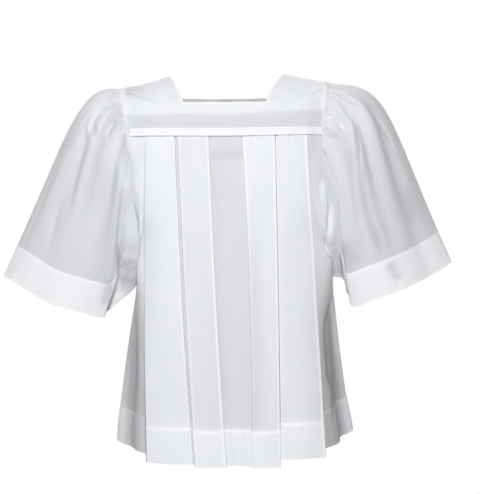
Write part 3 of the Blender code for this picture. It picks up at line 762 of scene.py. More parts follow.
# ---------------------------------------------------------------- the garment's smooth form
@dataclass
class BodyForm:
    """The smooth form that the body's cloth hangs in: an oval tube with two armholes."""

    armhole_x: Table  # of the seams, by degrees from the shoulder tip
    section: Table  # how far the cloth reaches to each side, by height
    roundness: float = 3.0  # 2 is an ellipse
    arm_reach: dict[Face, float] = field(default_factory=lambda: {Face.FRONT: 0.080, Face.BACK: 0.075})
    arm_top: dict[Side, float] = by_side(-0.0250, -0.0115)
    arm_foot: dict[Side, float] = by_side(-0.325, -0.318)
    side_gap: float = 0.00015
    drawn: float = 0.30  # how much further forward and back the armhole is drawn low down, as a share
    drawn_at: float = 146.0  # degrees from the shoulder tip
    drawn_over: float = 30.0

    def seam_x(self, side: Side, angle: Row) -> Row:
        """Gives the distance of an armhole's seam from x = 0.

        Args:
            side: which armhole.
            angle: degrees round it from the shoulder tip.

        Returns:
            The distances, the same in front of the arm and behind it.
        """
        angles, reach = self.armhole_x["angle"], self.armhole_x[side.name]
        angles = np.concatenate([-angles[1:2], angles, 360 - angles[-2:-1]])
        reach = np.concatenate([reach[1:2], reach, reach[-2:-1]])
        return smooth(angles, reach, 180 - abs(180 - angle))

    def arm_depth(self, face: Face, angle: Row) -> Row:
        """Distance of the armhole's seam from y = 0, in front of the arm or behind it."""
        drawn = 1 + self.drawn * bell((180 - abs(180 - angle) - self.drawn_at) / self.drawn_over)
        return self.arm_reach[face] * drawn * abs(np.sin(np.radians(angle)))

    def armhole(self, side: Side, angle: Row) -> Row:
        """Gives points of an armhole's seam.

        Args:
            side: which armhole.
            angle: degrees round it: 0 is the shoulder tip, 90 the front and 180 the underarm.

        Returns:
            The points.
        """
        angle = np.mod(angle, 360)
        x = side.value * self.seam_x(side, angle)
        y = np.where(angle <= 180, -self.arm_depth(Face.FRONT, angle), self.arm_depth(Face.BACK, angle))
        z = mix(self.arm_top[side], self.arm_foot[side], (1 - np.cos(np.radians(angle))) / 2)
        return np.stack([x, y, z], axis=-1)

    def armhole_angle(self, side: Side, z: Row) -> Row:
        """The angle in front of the arm at which an armhole's seam has height z."""
        share = (self.arm_top[side] - z) / (self.arm_top[side] - self.arm_foot[side])
        return np.degrees(np.arccos(1 - 2 * np.clip(share, 0, 1)))

    def depth(self, face: Face, z: Row) -> Row:
        """Distance of the base cloth in front of the body's axis, or behind it."""
        return smooth(self.section["z"], self.section[face.name], z)

    def narrowed(self, y: Row, depth: Row) -> Row:
        """Width of the plan at distance y from its middle, as a share of the widest."""
        return (1 - np.clip(y / depth, 0, 0.99) ** self.roundness) ** (1 / self.roundness)

    def edge_y(self, side: Side, face: Face, z: Row) -> Row:
        """Distance of a panel's side edge from y = 0."""
        return np.maximum(self.side_gap, self.arm_depth(face, self.armhole_angle(side, z)))

    def half_width(self, side: Side, face: Face, z: Row) -> Row:
        """Gives the half width of the plan, such that it passes through the armhole's seam.

        Args:
            side: which side.
            face: front or back.
            z: heights.

        Returns:
            The half widths.
        """
        below = smooth(self.section["z"], self.section[side.name], z)
        share = self.narrowed(self.edge_y(side, face, z), self.depth(face, z))
        above = self.seam_x(side, self.armhole_angle(side, z)) / share
        return np.where(z < self.arm_foot[side], below, above)

    def width_at(self, face: Face, across: Row, z: Row) -> Row:
        """The half width on the side that `across` is on, by its sign."""
        left, right = (self.half_width(side, face, z) for side in Side)
        return np.where(across < 0, left, right)

    def turn_at_x(self, face: Face, x: Row, z: Row) -> Row:
        """Direction from the body's axis of the base cloth at x, in radians from straight ahead."""
        y = self.depth(face, z) * self.narrowed(abs(x), self.width_at(face, x, z))
        return np.arctan2(x, y)

    def turn_at_edge(self, side: Side, face: Face, z: Row) -> Row:
        """Direction from the body's axis of a panel's side edge."""
        y = self.edge_y(side, face, z)
        reach = self.half_width(side, face, z) * self.narrowed(y, self.depth(face, z))
        return side.value * np.arctan2(reach, y)

    def cloth(self, face: Face, turn: Row, z: Row) -> tuple[Grid, Grid, Grid]:
        """Gives the base cloth.

        Args:
            face: front or back.
            turn: directions from the body's axis.
            z: heights.

        Returns:
            Its points, its outward directions and its rightward directions.
        """
        width, deep = self.width_at(face, turn, z), self.depth(face, z)
        across, ahead = abs(np.sin(turn)) / width, abs(np.cos(turn)) / deep
        radius = (across**self.roundness + ahead**self.roundness) ** (-1 / self.roundness)
        points = np.stack([radius * np.sin(turn), face.value * radius * np.cos(turn), z], axis=-1)
        power = self.roundness - 1
        out_x = np.sign(turn) * (across * radius) ** power / width
        out_y = face.value * (ahead * radius) ** power / deep
        out = unit(np.stack([out_x, out_y, 0 * out_x], axis=-1))
        right = np.stack([abs(out[..., 1]), -face.value * out[..., 0], 0 * out_x], axis=-1)
        return points, out, right


BODY = BodyForm(
    armhole_x=table(
        "angle LEFT RIGHT",
        (0, 0.2050, 0.1950),
        (30, 0.1980, 0.1900),
        (60, 0.1860, 0.1840),
        (75, 0.1810, 0.1830),
        (90, 0.1750, 0.1825),
        (120, 0.1688, 0.1887),
        (135, 0.1686, 0.1940),
        (150, 0.1697, 0.1984),
        (180, 0.1710, 0.2020),
    ),
    section=table(
        "z LEFT RIGHT FRONT BACK",
        (-0.740, 0.2015, 0.2440, 0.1560, 0.1480),
        (-0.690, 0.2030, 0.2410, 0.1530, 0.1450),
        (-0.620, 0.1970, 0.2275, 0.1470, 0.1390),
        (-0.550, 0.1890, 0.2180, 0.1410, 0.1310),
        (-0.480, 0.1800, 0.2110, 0.1345, 0.1220),
        (-0.410, 0.1708, 0.2055, 0.1275, 0.1120),
        (-0.325, 0.1710, 0.2020, 0.1190, 0.1040),
        (-0.200, 0.1720, 0.2010, 0.1075, 0.0980),
        (-0.100, 0.1740, 0.2000, 0.0985, 0.0880),
    ),
)
JOIN: dict[Face, Table] = {  # middle of the band, where the yoke meets the body
    Face.FRONT: table("x z", (-0.182, -0.1183), (0.000, -0.1198), (0.183, -0.1150)),
    Face.BACK: table("x z", (-0.182, -0.1130), (0.000, -0.1160), (0.183, -0.1100)),
}
PLEATED_X = (-0.1438, 0.1496)  # from the first pleat to the last, at the band
BAND_STEPS = (0.0022, 0.0022)  # at the band, to a pleat's under layer and on to its face


def seam_offset(x: Row) -> Row:
    """How far the joined edges of yoke and band stand off the base cloth, to clear the pleats."""
    beyond = np.maximum(PLEATED_X[0] - x, x - PLEATED_X[1])
    return sum(BAND_STEPS) * (1 - ease(beyond / 0.030))


# ---------------------------------------------------------------- body panels
@dataclass(frozen=True)
class Fold:
    """One of the four folds of a box pleat, in the order of its cloth from left to right."""

    line: str
    before: Layer
    after: Layer
    bulge: int  # 1 where it bulges to the right and -1 where to the left


PLEAT_FOLDS = (
    Fold("tuck", Layer.BASE, Layer.UNDER, 1),
    Fold("left", Layer.UNDER, Layer.FACE, -1),
    Fold("right", Layer.FACE, Layer.UNDER, 1),
    Fold("tuck", Layer.UNDER, Layer.BASE, -1),
)


@dataclass
class Knot:
    """A line down a panel where its cloth folds over, or where the panel ends."""

    x_rows: tuple[float, float, float]  # x at the band, half way down and at the hem
    hem_z: float
    pleat: int
    fold: Fold | None = None
    side: Side | None = None
    curl: float = 0.0  # how far the line swings to the right as it meets the band

    def x_at(self, down: Row) -> Row:
        """Where the line crosses each height."""
        top, middle, hem = self.x_rows
        bend = 4 * down * (1 - down) * (middle - (top + hem) / 2)
        return mix(top, hem, down) + bend + self.curl * np.exp(-down / 0.035)

    def turn(self, face: Face, z: Row, down: Row, beside: float = 0.0) -> Row:
        """Gives the direction of the line from the body's axis.

        Args:
            face: front or back.
            z: heights.
            down: the same heights, as 0 at the band and 1 at the hem.
            beside: how far to the right of the line, in metres.

        Returns:
            The directions, in radians.
        """
        if self.side:
            return BODY.turn_at_edge(self.side, face, z)
        return BODY.turn_at_x(face, self.x_at(down) + beside, z)


@dataclass
class PanelColumn:
    """Where one column of a panel lies: on a run of flat cloth or round a fold."""

    knot: int
    share: float = 0.0  # of the way to the next knot
    turned: float | None = None  # radians round the knot's fold
    ends: tuple[tuple[int, float], ...] | None = None  # the lines it lies between, and metres beside them
    along: float = 0.0  # of the way from the first of these to the second
    shown: float = 0.0  # 1 where the cloth shows and 0 behind a pleat


@dataclass
class PleatedPanel:
    """A body panel with its pressed box pleats, its armholes and the turned-up ply of its hem."""

    face: Face
    pleats: Table
    hem: Table
    side_folds: dict[Side, Table]
    side_bulges: dict[Side, Table]
    side_shading_and_show_through: dict[Side, Table]  # painted shade and highlight of the lower part from the side seam inwards, partly the dark beneath showing through
    body_creases: tuple[Crease, ...]  # the whole thickness of the pleated cloth follows these
    face_creases: tuple[Crease, ...]  # only what shows follows these
    wave_seed: int
    wave_height: float = 0.0009
    wave_size: float = 0.09
    hem_rise: float = 0.0005  # how far the doubled hem stands out, and how deep its upper edge is pressed
    columns_side: int = 70
    columns_face: int = 24
    columns_under: int = 6
    columns_centre: int = 44
    columns_narrow: int = 16
    columns_fold: int = 5
    steps_hem: tuple[float, float] = (0.0038, 0.0054)  # to the under layer, then to the face
    steps_full_at: float = 0.80
    tuck_room: float = 0.0024
    face_bow: float = 0.0022
    fold_length: float = 0.28  # how far a fold's round reaches, for a step of 1
    gap_room: float = 0.0008  # from a pleat's edge to the cloth raised between two pleats
    behind: float = 0.0008  # how far behind a pleat's edge the raised cloth starts
    under_band: float = 0.0004  # from the cloth between the pleats to the seam, at the band
    edge_steps: tuple[tuple[float, float], ...] = ((0.0004, 0.2), (0.0006, 0.7))  # rise beside a pleat's edge
    edge_clear: float = 0.0009
    near_edge: tuple[float, ...] = (0.012, 0.026)  # shares of a pleat's width
    corner_push: dict[Side, float] = by_side(0.016, 0.015)
    push_place: float = 0.38  # where it is strongest, as a share of the way in from the side seam
    push_width: float = 0.20
    push_z: float = -0.330
    push_height: float = 0.080
    # Painted light on the strip beside the arm, painted shade on the sides' hems, and how far the painted
    # shade on the right leans in higher up.
    strip_painted_light: dict[Side, float] = by_side(0.32, 0.02)
    side_hem_shade: dict[Side, float] = by_side(0.26, 0.40)
    shade_lean: dict[Side, float] = by_side(0.0, 0.10)

    def layer_offset(self, layer: Layer, down: Row) -> Row:
        """Distance of a pleat's layer from the base cloth."""
        share = np.clip(down / self.steps_full_at, 0, 1)
        return sum((mix(BAND_STEPS[n], self.steps_hem[n], share) for n in range(layer.value)), 0 * share)

    def edge_knot(self, side: Side) -> Knot:
        """Gives the line of a side seam and its armhole.

        Args:
            side: which side.

        Returns:
            The line.
        """
        x_top = float(BODY.armhole(side, BODY.armhole_angle(side, JOIN[self.face]["z"][1]))[0])
        x_hem = side.value * float(smooth(BODY.section["z"], BODY.section[side.name], -0.70))
        hem_z = float(smooth(self.hem["x"], self.hem["z"], x_hem))
        return Knot((x_top, x_hem, x_hem), hem_z, -1, side=side)

    @cached_property
    def knots(self) -> list[Knot]:
        """Lists the lines of the panel from its left edge to its right edge.

        Returns:
            The knots.
        """
        found = [self.edge_knot(Side.LEFT)]
        for index, pleat_z in enumerate(self.pleats["hem_z"]):
            for fold in PLEAT_FOLDS:
                in_tuck = fold.line == "tuck"
                shift = -fold.bulge * self.tuck_room * in_tuck
                levels = (self.pleats[f"{fold.line}_{level}"][index] for level in ("top", "mid", "hem"))
                x_rows = tuple(float(value) + shift for value in levels)
                hem_z = mix(smooth(self.hem["x"], self.hem["z"], x_rows[2]), pleat_z, 0.5 if in_tuck else 1.0)
                curl = float(self.pleats["curl"][index]) if fold.line == "left" else 0.0
                found.append(Knot(x_rows, float(hem_z), index, fold, curl=curl))
        return found + [self.edge_knot(Side.RIGHT)]

    def columns(self) -> list[PanelColumn]:
        """Places the columns of the panel's grid.

        Returns:
            The columns from left to right.
        """
        found = []
        turns = np.linspace(0, math.pi, self.columns_fold + 1)
        for index, second in enumerate(self.knots[1:]):
            found += self.run_columns(index)
            if second.fold:
                found += [PanelColumn(index + 1, turned=float(turn)) for turn in turns]
        return found

    def run_columns(self, index: int) -> list[PanelColumn]:
        """Places the columns of the flat cloth between two lines.

        Args:
            index: which line is on the left.

        Returns:
            The columns from left to right.
        """
        first, second = self.knots[index : index + 2]
        layer = first.fold.after if first.fold else Layer.BASE
        narrow = self.is_narrow(first, second)
        if layer is not Layer.BASE or narrow:
            count = self.columns_face if layer is Layer.FACE else self.columns_under
            count = self.columns_narrow if narrow else count
            shares = [step / count for step in range(1, count)]
            if layer is Layer.FACE:
                shares = [*self.near_edge, *shares, *(1 - share for share in self.near_edge[::-1])]
            return [PanelColumn(index, share) for share in shares]
        found = []
        if first.fold:
            found += [((index, 0.0), (index - 1, -self.behind), step / 3, 0.0) for step in (1, 2, 3)]
            found += [((index - 1, away), (index - 1, away), 0.0, shown) for away, shown in self.edge_steps]
        left = (index - 1, self.edge_clear) if first.fold else (index, 0.0)
        right = (index + 2, -self.edge_clear) if second.fold else (index + 1, 0.0)
        count = self.columns_centre if first.fold and second.fold else self.columns_side
        found += [(left, right, step / count, 1.0) for step in range(count + 1)]
        if second.fold:
            far = index + 2
            found += [((far, -away), (far, -away), 0.0, shown) for away, shown in self.edge_steps[::-1]]
            found += [((far, self.behind), (index + 1, 0.0), step / 3, 0.0) for step in (0, 1, 2)]
        down, z = np.array(0.5), np.array(-0.42)
        start, end = (knot.turn(self.face, z, down) for knot in (first, second))
        placed = []
        for low, high, along, shown in found:
            turn = self.turn_between((low, high), along, z, down)
            share = float(np.clip((turn - start) / (end - start), 0, 1))
            placed.append(PanelColumn(index, share, ends=(low, high), along=along, shown=shown))
        return placed

    def turn_between(self, ends: Iterable[tuple[int, float]], along: float, z: Grid, down: Grid) -> Grid:
        """Direction of a place between two lines, each moved some metres to the right."""
        return mix(*(self.knots[line].turn(self.face, z, down, beside) for line, beside in ends), along)

    def is_narrow(self, first: Knot, second: Knot) -> bool:
        """Whether this is the cloth behind two pleats whose faces nearly meet."""
        between_tucks = first.fold and second.fold and first.fold.after is Layer.BASE
        return bool(between_tucks) and second.x_rows[1] - first.x_rows[1] < 0.08

    def row_values(self) -> Row:
        """Rows of the grid: 0 to 1 beside the armhole, 1 to 2 the skirt and 2 to 3 the hem."""
        seam = [1.975, 1.988, 1.994, 2.0, 2.018, 2.035, 2.06]
        above = (np.linspace(0, 0.16, 10)[:-1], np.linspace(0.16, 1, 34)[:-1], np.linspace(1, 1.955, 40))
        return np.concatenate([*above, seam, np.linspace(2.12, 3, 11)])

    def grid(self) -> ClothGrid:
        """Makes the whole panel's surface.

        Returns:
            The grid, from the band down to the hem.
        """
        rows = self.row_values()
        strips = [PanelStrip(self, column, rows).read() for column in self.columns()]
        points, white, edge = (np.stack(parts, axis=1) for parts in zip(*strips))
        outward = self.face.value * normals_of(points)
        rise = self.hem_rise
        hem_step = rise * ease((rows - 1.99) / 0.03) - rise * bell((rows - 2.012) / 0.010)
        points = points + hem_step[:, None, None] * outward
        # Painted highlight along the armhole edges of the panel.
        for step, bright in enumerate((0.8, 0.7, 0.4)):
            edge[rows < 1, step] = edge[rows < 1, -1 - step] = bright
        across = distances_along(points[len(rows) // 2])
        along = np.tile(-points[:, :, 2].mean(axis=1)[:, None], (1, points.shape[1]))
        return ClothGrid(points, outward, np.tile(across, (len(rows), 1)), along, white, edge)

    def build(self) -> ClothGrid:
        """Makes the panel and the ply of its hem.

        Returns:
            The panel's grid.
        """
        name = self.face.name.lower()
        grid, rows = self.grid(), self.row_values()
        turned_up = grid.ply((int(np.searchsorted(rows, 2.0)), len(rows) - 1))
        panel = ClothPiece(f"{name}_panel", grid).build()
        hem = ClothPiece(f"{name}_hem", turned_up, PLY_THICKNESS).build()
        return grid


class PanelStrip:
    """One column of a panel's cloth, read at every row from the band to the hem."""

    def __init__(self, panel: PleatedPanel, column: PanelColumn, rows: Row) -> None:
        """Finds the lines that the column lies between, and its heights.

        Args:
            panel: the panel.
            column: which column.
            rows: the rows of the grid.
        """
        self.panel, self.column, self.rows = panel, column, rows
        self.first = panel.knots[column.knot]
        self.second = self.first if column.turned is not None else panel.knots[column.knot + 1]
        self.layer = self.first.fold.after if self.first.fold else Layer.BASE
        self.narrow = column.turned is None and panel.is_narrow(self.first, self.second)
        x_top = mix(self.first.x_rows[0], self.second.x_rows[0], column.share)
        hem_z = mix(self.first.hem_z, self.second.hem_z, column.share)
        join_z = smooth(JOIN[panel.face]["x"], JOIN[panel.face]["z"], x_top) - SEAM_GAP / 2
        self.z = np.interp(rows, (0, 1, 2, 3), (join_z, self.foot_height(x_top), hem_z + HEM_DEPTH, hem_z))
        self.down = (join_z - self.z) / (join_z - hem_z)  # 0 at the band and 1 at the hem
        self.hem = ease((rows - 1.99) / 0.02)  # 1 in the hem and 0 above it

    def foot_height(self, x: float) -> float:
        """Gives the height of the armhole's foot for the column.

        Args:
            x: its place at the band.

        Returns:
            The height.
        """
        feet = BODY.arm_foot
        for knot, end in ((self.first, 0), (self.second, 1)):
            if knot.side and self.column.share == end:
                return feet[knot.side]
        return mix(feet[Side.LEFT], feet[Side.RIGHT], np.clip(x / 0.4 + 0.5, 0, 1))

    def side_place(self) -> tuple[Side, float] | None:
        """The column's side and its share of the way in to the first pleat, if it is on a side."""
        if self.first.side:
            return Side.LEFT, self.column.share
        return (Side.RIGHT, 1 - self.column.share) if self.second.side else None

    def read(self) -> tuple[Grid, Grid, Grid]:
        """Reads the strip.

        Returns:
            Its points, its whiteness with its painted shade, and the painted highlight of its pressed edges,
            for each row.
        """
        panel, down, z = self.panel, self.down, self.z
        share: float | Row = self.column.share
        between = 0 * down
        if self.narrow:
            share, between = self.narrow_share()
            turn = BODY.turn_at_x(panel.face, mix(self.first.x_at(down), self.second.x_at(down), share), z)
        elif self.column.ends:
            turn = panel.turn_between(self.column.ends, self.column.along, z, down)
        else:
            turn = mix(*(knot.turn(panel.face, z, down) for knot in (self.first, self.second)), share)
        points, out, right = BODY.cloth(panel.face, turn, z)
        swell = crease_heights(panel.body_creases, points[:, 0], z)
        waves = ripple(z, points[:, 0], panel.wave_seed, panel.wave_size)
        swell = swell + panel.wave_height * ease(down * 4) * waves
        if self.column.turned is not None:
            return self.round_fold(points, out, right, swell)
        pleats, pleat = panel.pleats, self.first.pleat
        depth, gap_white, glow = (pleats[f"gap_{what}"][pleat] for what in ("depth", "white", "glow"))
        sway, push, shade = self.side_forms()
        seen_x = points[:, 0] + sway * out[:, 0]
        offset = panel.layer_offset(self.layer, down) + sway + self.run_relief(seen_x)
        offset = offset + between * (panel.layer_offset(Layer.FACE, down) - depth)
        if not self.column.ends:
            inwards = mix(self.fold_end(self.first), self.fold_end(self.second), share) * (1 - between)
            points = points + inwards[:, None] * right
        # Whiteness carries painted shade per pleat, in the gaps, on the sides and in creases; the edge mask
        # carries painted highlights along folds, gaps and the hem's top.
        white = mix(self.whiteness(self.layer, float(np.mean(share))), gap_white, between)
        if self.layer is Layer.BASE:
            shade = shade + crease_painted_shading(panel.face_creases, seen_x, z)
        hem_line_highlight = 0.05 if self.side_place() else 0.65
        edge = self.edge_painted_highlight() + between * glow + hem_line_highlight * bell((self.rows - 2.030) / 0.035)
        points = points + (offset + swell)[:, None] * out
        points[:, 1] += panel.face.value * push
        return points, white - shade, edge

    def round_fold(self, points: Grid, out: Grid, right: Grid, swell: Grid) -> tuple[Grid, Grid, Grid]:
        """Takes the strip round the fold of a pleat.

        Args:
            points: places on the base cloth.
            out: its outward directions.
            right: its rightward directions.
            swell: how far the cloth stands off it.

        Returns:
            The same as `read`.
        """
        fold, turned, pleats = self.first.fold, self.column.turned, self.panel.pleats
        start, end = (self.panel.layer_offset(layer, self.down) for layer in (fold.before, fold.after))
        offset = mix(start, end, (1 - math.cos(turned)) / 2) + swell
        along = self.fold_end(self.first) * (1 - math.sin(turned))
        points = points + offset[:, None] * out + along[:, None] * right
        on_face = fold.line != "tuck"
        layer = Layer.FACE if on_face else Layer.UNDER
        # Painted highlight on the rounds of a pleat's face, and painted shadow along the left edge of some
        # pleats.
        white = self.whiteness(layer, float(fold.line == "right")) + 0.2 * on_face
        if fold.line == "left":
            white = white - pleats["left_dark"][self.first.pleat] * mix(0.35, 1.05, self.down)
        return points, white, self.glow(self.first)

    def side_forms(self) -> tuple[Row, Row, Row]:
        """Gives what the cloth between a side seam and the nearest pleat does.

        Returns:
            How far its soft upright folds stand out, how far it is pushed out beside the arm, to lie
            against the sleeve, and its painted shade, below zero painted light. All are 0 elsewhere.
        """
        panel, down, z = self.panel, self.down, self.z
        found = self.side_place()
        if not found:
            return 0 * down, 0 * down, 0 * down
        side, place = found
        folds, bulges, painted_tones = panel.side_folds[side], panel.side_bulges[side], panel.side_shading_and_show_through[side]
        # Upright folds that start below the band, and the bulge beside the underarm.
        starts = ease((down - folds["start"][:, None]) / (1 - folds["start"][:, None]))
        shapes = folds["out"] * bell((place - folds["place"]) / folds["width"])
        swell = bulges["out"] * bell((place - bulges["place"]) / bulges["width"]) * ease(place / 0.12)
        heights = bell((z - bulges["z"][:, None]) / bulges["height"][:, None])
        sway = (shapes[:, None] * starts).sum(axis=0) + (swell[:, None] * heights).sum(axis=0)
        # The cloth pushed out beside the arm.
        wide = bell((place - panel.push_place) / panel.push_width)
        wide = wide * ease(place / 0.10) * ease((0.92 - place) / 0.40)
        push = panel.corner_push[side] * wide * bell((z - panel.push_z) / panel.push_height)
        # Painted light down to the underarm, painted shade and highlight below it, partly the dark beneath
        # showing through, greyer towards the hem.
        at = np.maximum(place - panel.shade_lean[side] * (1 - ease((down - 0.60) / 0.22)), 0)
        in_fold = ease((at - 0.3) / 0.2)
        low = smooth(painted_tones["place"], painted_tones["tone"], at) + 0.16 * ease((down - 0.72) / 0.14) * in_fold
        shade = mix(-panel.strip_painted_light[side], low, ease((down - 0.44) / 0.24))
        return sway, push, shade + in_fold * panel.side_hem_shade[side] * self.hem

    def narrow_share(self) -> tuple[Grid, Grid]:
        """Gathers the columns of a narrow run where the faces of two pleats leave a gap.

        Returns:
            The column's share of the way to the next line, and 1 in the gap and 0 away from it.
        """
        around = (self.panel.knots[self.column.knot + n] for n in (-1, 0, 1, 2))
        left, start, end, right = (knot.x_at(self.down) for knot in around)
        middle, half = (left + right) / 2, (right - left) / 2
        step = (self.column.share - 0.5) * self.panel.columns_narrow
        room = np.maximum(half - self.panel.gap_room, 0.0001)
        near = np.interp(abs(step), range(6), (0, 0.45, 0.75, 0.90, 0.97, 1.00)) * room
        beyond = max(abs(step) - 5, 0) / (self.panel.columns_narrow / 2 - 5)
        limit = (middle - start) if step < 0 else (end - middle)
        x = middle + math.copysign(1, step) * mix(near, limit, beyond)
        between = float(np.interp(abs(step), (0, 3, 4, 5), (1, 1, 0.9, 0)))
        return (x - start) / (end - start), between * ease((room - 0.0003) / 0.0006)

    def fold_end(self, knot: Knot) -> Row:
        """Gives where a fold's round ends and the flat cloth starts.

        Args:
            knot: the line of the fold.

        Returns:
            How far that is to the right of the line.
        """
        if not knot.fold:
            return 0 * self.down
        layers = (knot.fold.before, knot.fold.after)
        before, after = (self.panel.layer_offset(layer, self.down) for layer in layers)
        return -knot.fold.bulge * abs(after - before) * self.panel.fold_length

    def run_relief(self, x: Row) -> Row:
        """Gives how far the flat cloth stands off its own layer.

        Args:
            x: places of its points before this relief.

        Returns:
            The distance for each row.
        """
        panel, down, column = self.panel, self.down, self.column
        relief = crease_heights(panel.face_creases, x, self.z)
        if self.layer is Layer.FACE:
            clear_of_folds = ease(min(column.share, 1 - column.share) / 0.12)
            bow = panel.face_bow * math.sin(math.pi * column.share) * down
            return bow + clear_of_folds * np.maximum(relief, -0.0010 - 0.002 * down)
        if not column.shown:
            return 0 * down
        lift = np.maximum(seam_offset(x) - panel.under_band, 0) * ease((0.090 - down) / 0.045)
        if self.second.fold:
            at_edge = column.ends[0] == column.ends[1]
            merging = column.share > 0.5 if at_edge else ease((column.along - 0.55) / 0.45)
            flush = panel.layer_offset(Layer.FACE, down) - panel.under_band
            merging = panel.pleats["left_merge"][self.second.pleat] * merging
            lift = np.maximum(lift, merging * flush * ease((down - 0.05) / 0.12))
        return column.shown * (lift + relief)

    def whiteness(self, layer: Layer, share: float) -> Row:
        """Gives how white the layers make the cloth, more in the hem, with painted shade on pleat faces:
        darker towards the hem and on some left parts.

        Args:
            layer: its layer.
            share: of the way to the next line.

        Returns:
            The whiteness of each row.
        """
        if layer is not Layer.FACE:
            return mix(0.58, 1.0, self.hem)
        white, fade = (self.panel.pleats[name][self.first.pleat] for name in ("white", "left_fade"))
        fade = fade * (1 - ease(share / 0.8)) * ease((self.down - 0.15) / 0.35)
        return mix(white - fade - 0.08 * ease(self.down), 1.0, self.hem)

    def edge_painted_highlight(self) -> Row:
        """Gives the painted highlight along a pressed edge beside a fold.

        Returns:
            Its brightness for each row, 0 away from the folds.
        """
        if self.layer is not Layer.FACE:
            return 0 * self.down
        share = self.column.share
        near = min(share, 1 - share) * abs(self.second.x_rows[1] - self.first.x_rows[1])
        return ease(1.25 - near / 0.0040) * self.glow(self.first if share < 0.5 else self.second)

    def glow(self, knot: Knot) -> Row:
        """Gives the painted highlight on the pressed edge of a fold.

        Args:
            knot: the line of the fold.

        Returns:
            The brightness from the band to the hem.
        """
        if knot.fold.line == "tuck":
            return 0 * self.down
        ends = (self.panel.pleats[f"{knot.fold.line}_glow_{end}"][knot.pleat] for end in ("top", "hem"))
        return mix(*ends, self.down)


# Of each pleat: x of its two edges and of its tucks, at the band, half way down and at the hem, the
# height of its hem, its whiteness, partly painted shade, how far its left edge swings as it meets the band,
# the painted highlights on its pressed edges, the painted shade on its left part and the painted shadow
# along its left edge, the gap to the next pleat (its depth, painted shade and painted highlight), and
# how far the cloth on its left rises to meet it.
PLEAT_COLUMNS = (
    "left_top left_mid left_hem right_top right_mid right_hem tuck_top tuck_mid tuck_hem hem_z "
    "white curl left_glow_top left_glow_hem right_glow_top right_glow_hem left_fade left_dark "
    "gap_depth gap_white gap_glow left_merge"
)
FRONT_PANEL = PleatedPanel(
    face=Face.FRONT,
    pleats=table(
        PLEAT_COLUMNS,
        (-0.1495, -0.1466, -0.1404, -0.0952, -0.0785, -0.0567, -0.1190, -0.1000, -0.0745, -0.7262,
         0.92, 0.0068, 0.0, 0.0, 0.1, 0.2, 0.0, 1.60, 0.0002, 0.50, 0.0, 0.0),
        (-0.0888, -0.0725, -0.0532, -0.0320, -0.0172, 0.0024, -0.0610, -0.0450, -0.0270, -0.7315,
         0.79, 0.0, 0.25, 0.3, 0.5, 0.75, 0.0, 0.0, 0.0, 0.0, 0.0, 0.0),
        (0.0307, 0.0455, 0.0486, 0.0918, 0.0960, 0.0992, 0.0610, 0.0705, 0.0740, -0.7320,
         0.88, 0.0, 0.5, 0.0, 0.4, 0.5, 0.28, 0.0, 0.0002, 0.95, 0.1, 1.0),
        (0.0930, 0.0972, 0.1004, 0.1496, 0.1645, 0.1803, 0.1220, 0.1225, 0.1235, -0.7180,
         0.88, 0.0, 0.0, 0.0, 1.0, 1.0, 0.0, 0.0, 0.0, 0.0, 0.0, 0.0),
    ),
    hem=table(
        "x z",
        (-0.205, -0.6935), (-0.195, -0.6990), (-0.178, -0.7065), (-0.145, -0.7110),
        (-0.090, -0.7160), (-0.050, -0.7240), (0.000, -0.7313), (0.050, -0.7315), (0.090, -0.7240),
        (0.120, -0.7130), (0.180, -0.7000), (0.214, -0.6890), (0.228, -0.6825), (0.244, -0.6750),
    ),
    side_folds={
        Side.LEFT: table("place width out start", (0.20, 0.10, 0.005, 0.4), (0.42, 0.10, -0.011, 0.4)),
        Side.RIGHT: table("place width out start", (0.18, 0.10, 0.005, 0.4), (0.40, 0.11, -0.015, 0.4)),
    },
    body_creases=crease_table(
        *(
            (SOFT, 0.0026, -0.0012, 0.05, 0.6, 0.0, (x, -0.1230), (x + 0.0006, -0.1330), (x, -0.1500))
            for x in (-0.1180, -0.0930, -0.0310, 0.0310, 0.0480, 0.0930, 0.1180)
        )
    ),
    # The number before each crease's points is painted shade, below zero painted highlight.
    face_creases=crease_table(
        (SHARP, 0.003, -0.0036, 0.08, 0.3, 0.35, (-0.1745, -0.464), (-0.1715, -0.49), (-0.169, -0.525),
         (-0.1685, -0.57), (-0.1695, -0.62), (-0.1715, -0.665)),
        (SOFT, 0.006, -0.002, 0.4, 0.3, 0.15, (-0.17, -0.5), (-0.1665, -0.56), (-0.165, -0.62)),
        (SHARP, 0.004, -0.005, 0.12, 0.15, 0.6, (0.205, -0.405), (0.202, -0.43), (0.197, -0.448),
         (0.189, -0.468), (0.187, -0.495), (0.1915, -0.535), (0.195, -0.57), (0.2, -0.605), (0.201, -0.638),
         (0.1995, -0.67)),
        (SOFT, 0.006, 0.002, 0.2, 0.2, -0.55, (-0.169, -0.195), (-0.1675, -0.25), (-0.168, -0.3),
         (-0.17, -0.34)),
        (SOFT, 0.007, 0.003, 0.2, 0.2, -0.9, (0.182, -0.205), (0.184, -0.24), (0.188, -0.28),
         (0.192, -0.31)),
        (SOFT, 0.007, -0.003, 0.4, 0.3, 0.25, (0.186, -0.49), (0.19, -0.55), (0.194, -0.605)),
    ),
    side_bulges={
        Side.LEFT: table("place width z height out", (0.44, 0.18, -0.355, 0.065, 0.0055)),
        Side.RIGHT: table("place width z height out", (0.44, 0.18, -0.335, 0.060, 0.0065)),
    },
    side_shading_and_show_through={
        Side.LEFT: table(
            "place tone",
            (0, -0.75), (0.10, -0.52), (0.20, -0.32), (0.28, -0.05), (0.34, 0.45), (0.41, 0.70),
            (0.48, 0.52), (0.58, 0.26), (0.70, 0.15), (0.88, 0.18), (0.95, 0.90), (1, 1.20),
        ),
        Side.RIGHT: table(
            "place tone",
            (0, -0.75), (0.10, -0.50), (0.20, -0.20), (0.27, 0.20), (0.34, 0.90), (0.40, 1.08),
            (0.47, 0.90), (0.55, 0.60), (0.75, 0.46), (1, 0.34),
        ),
    },
    wave_seed=3,
)
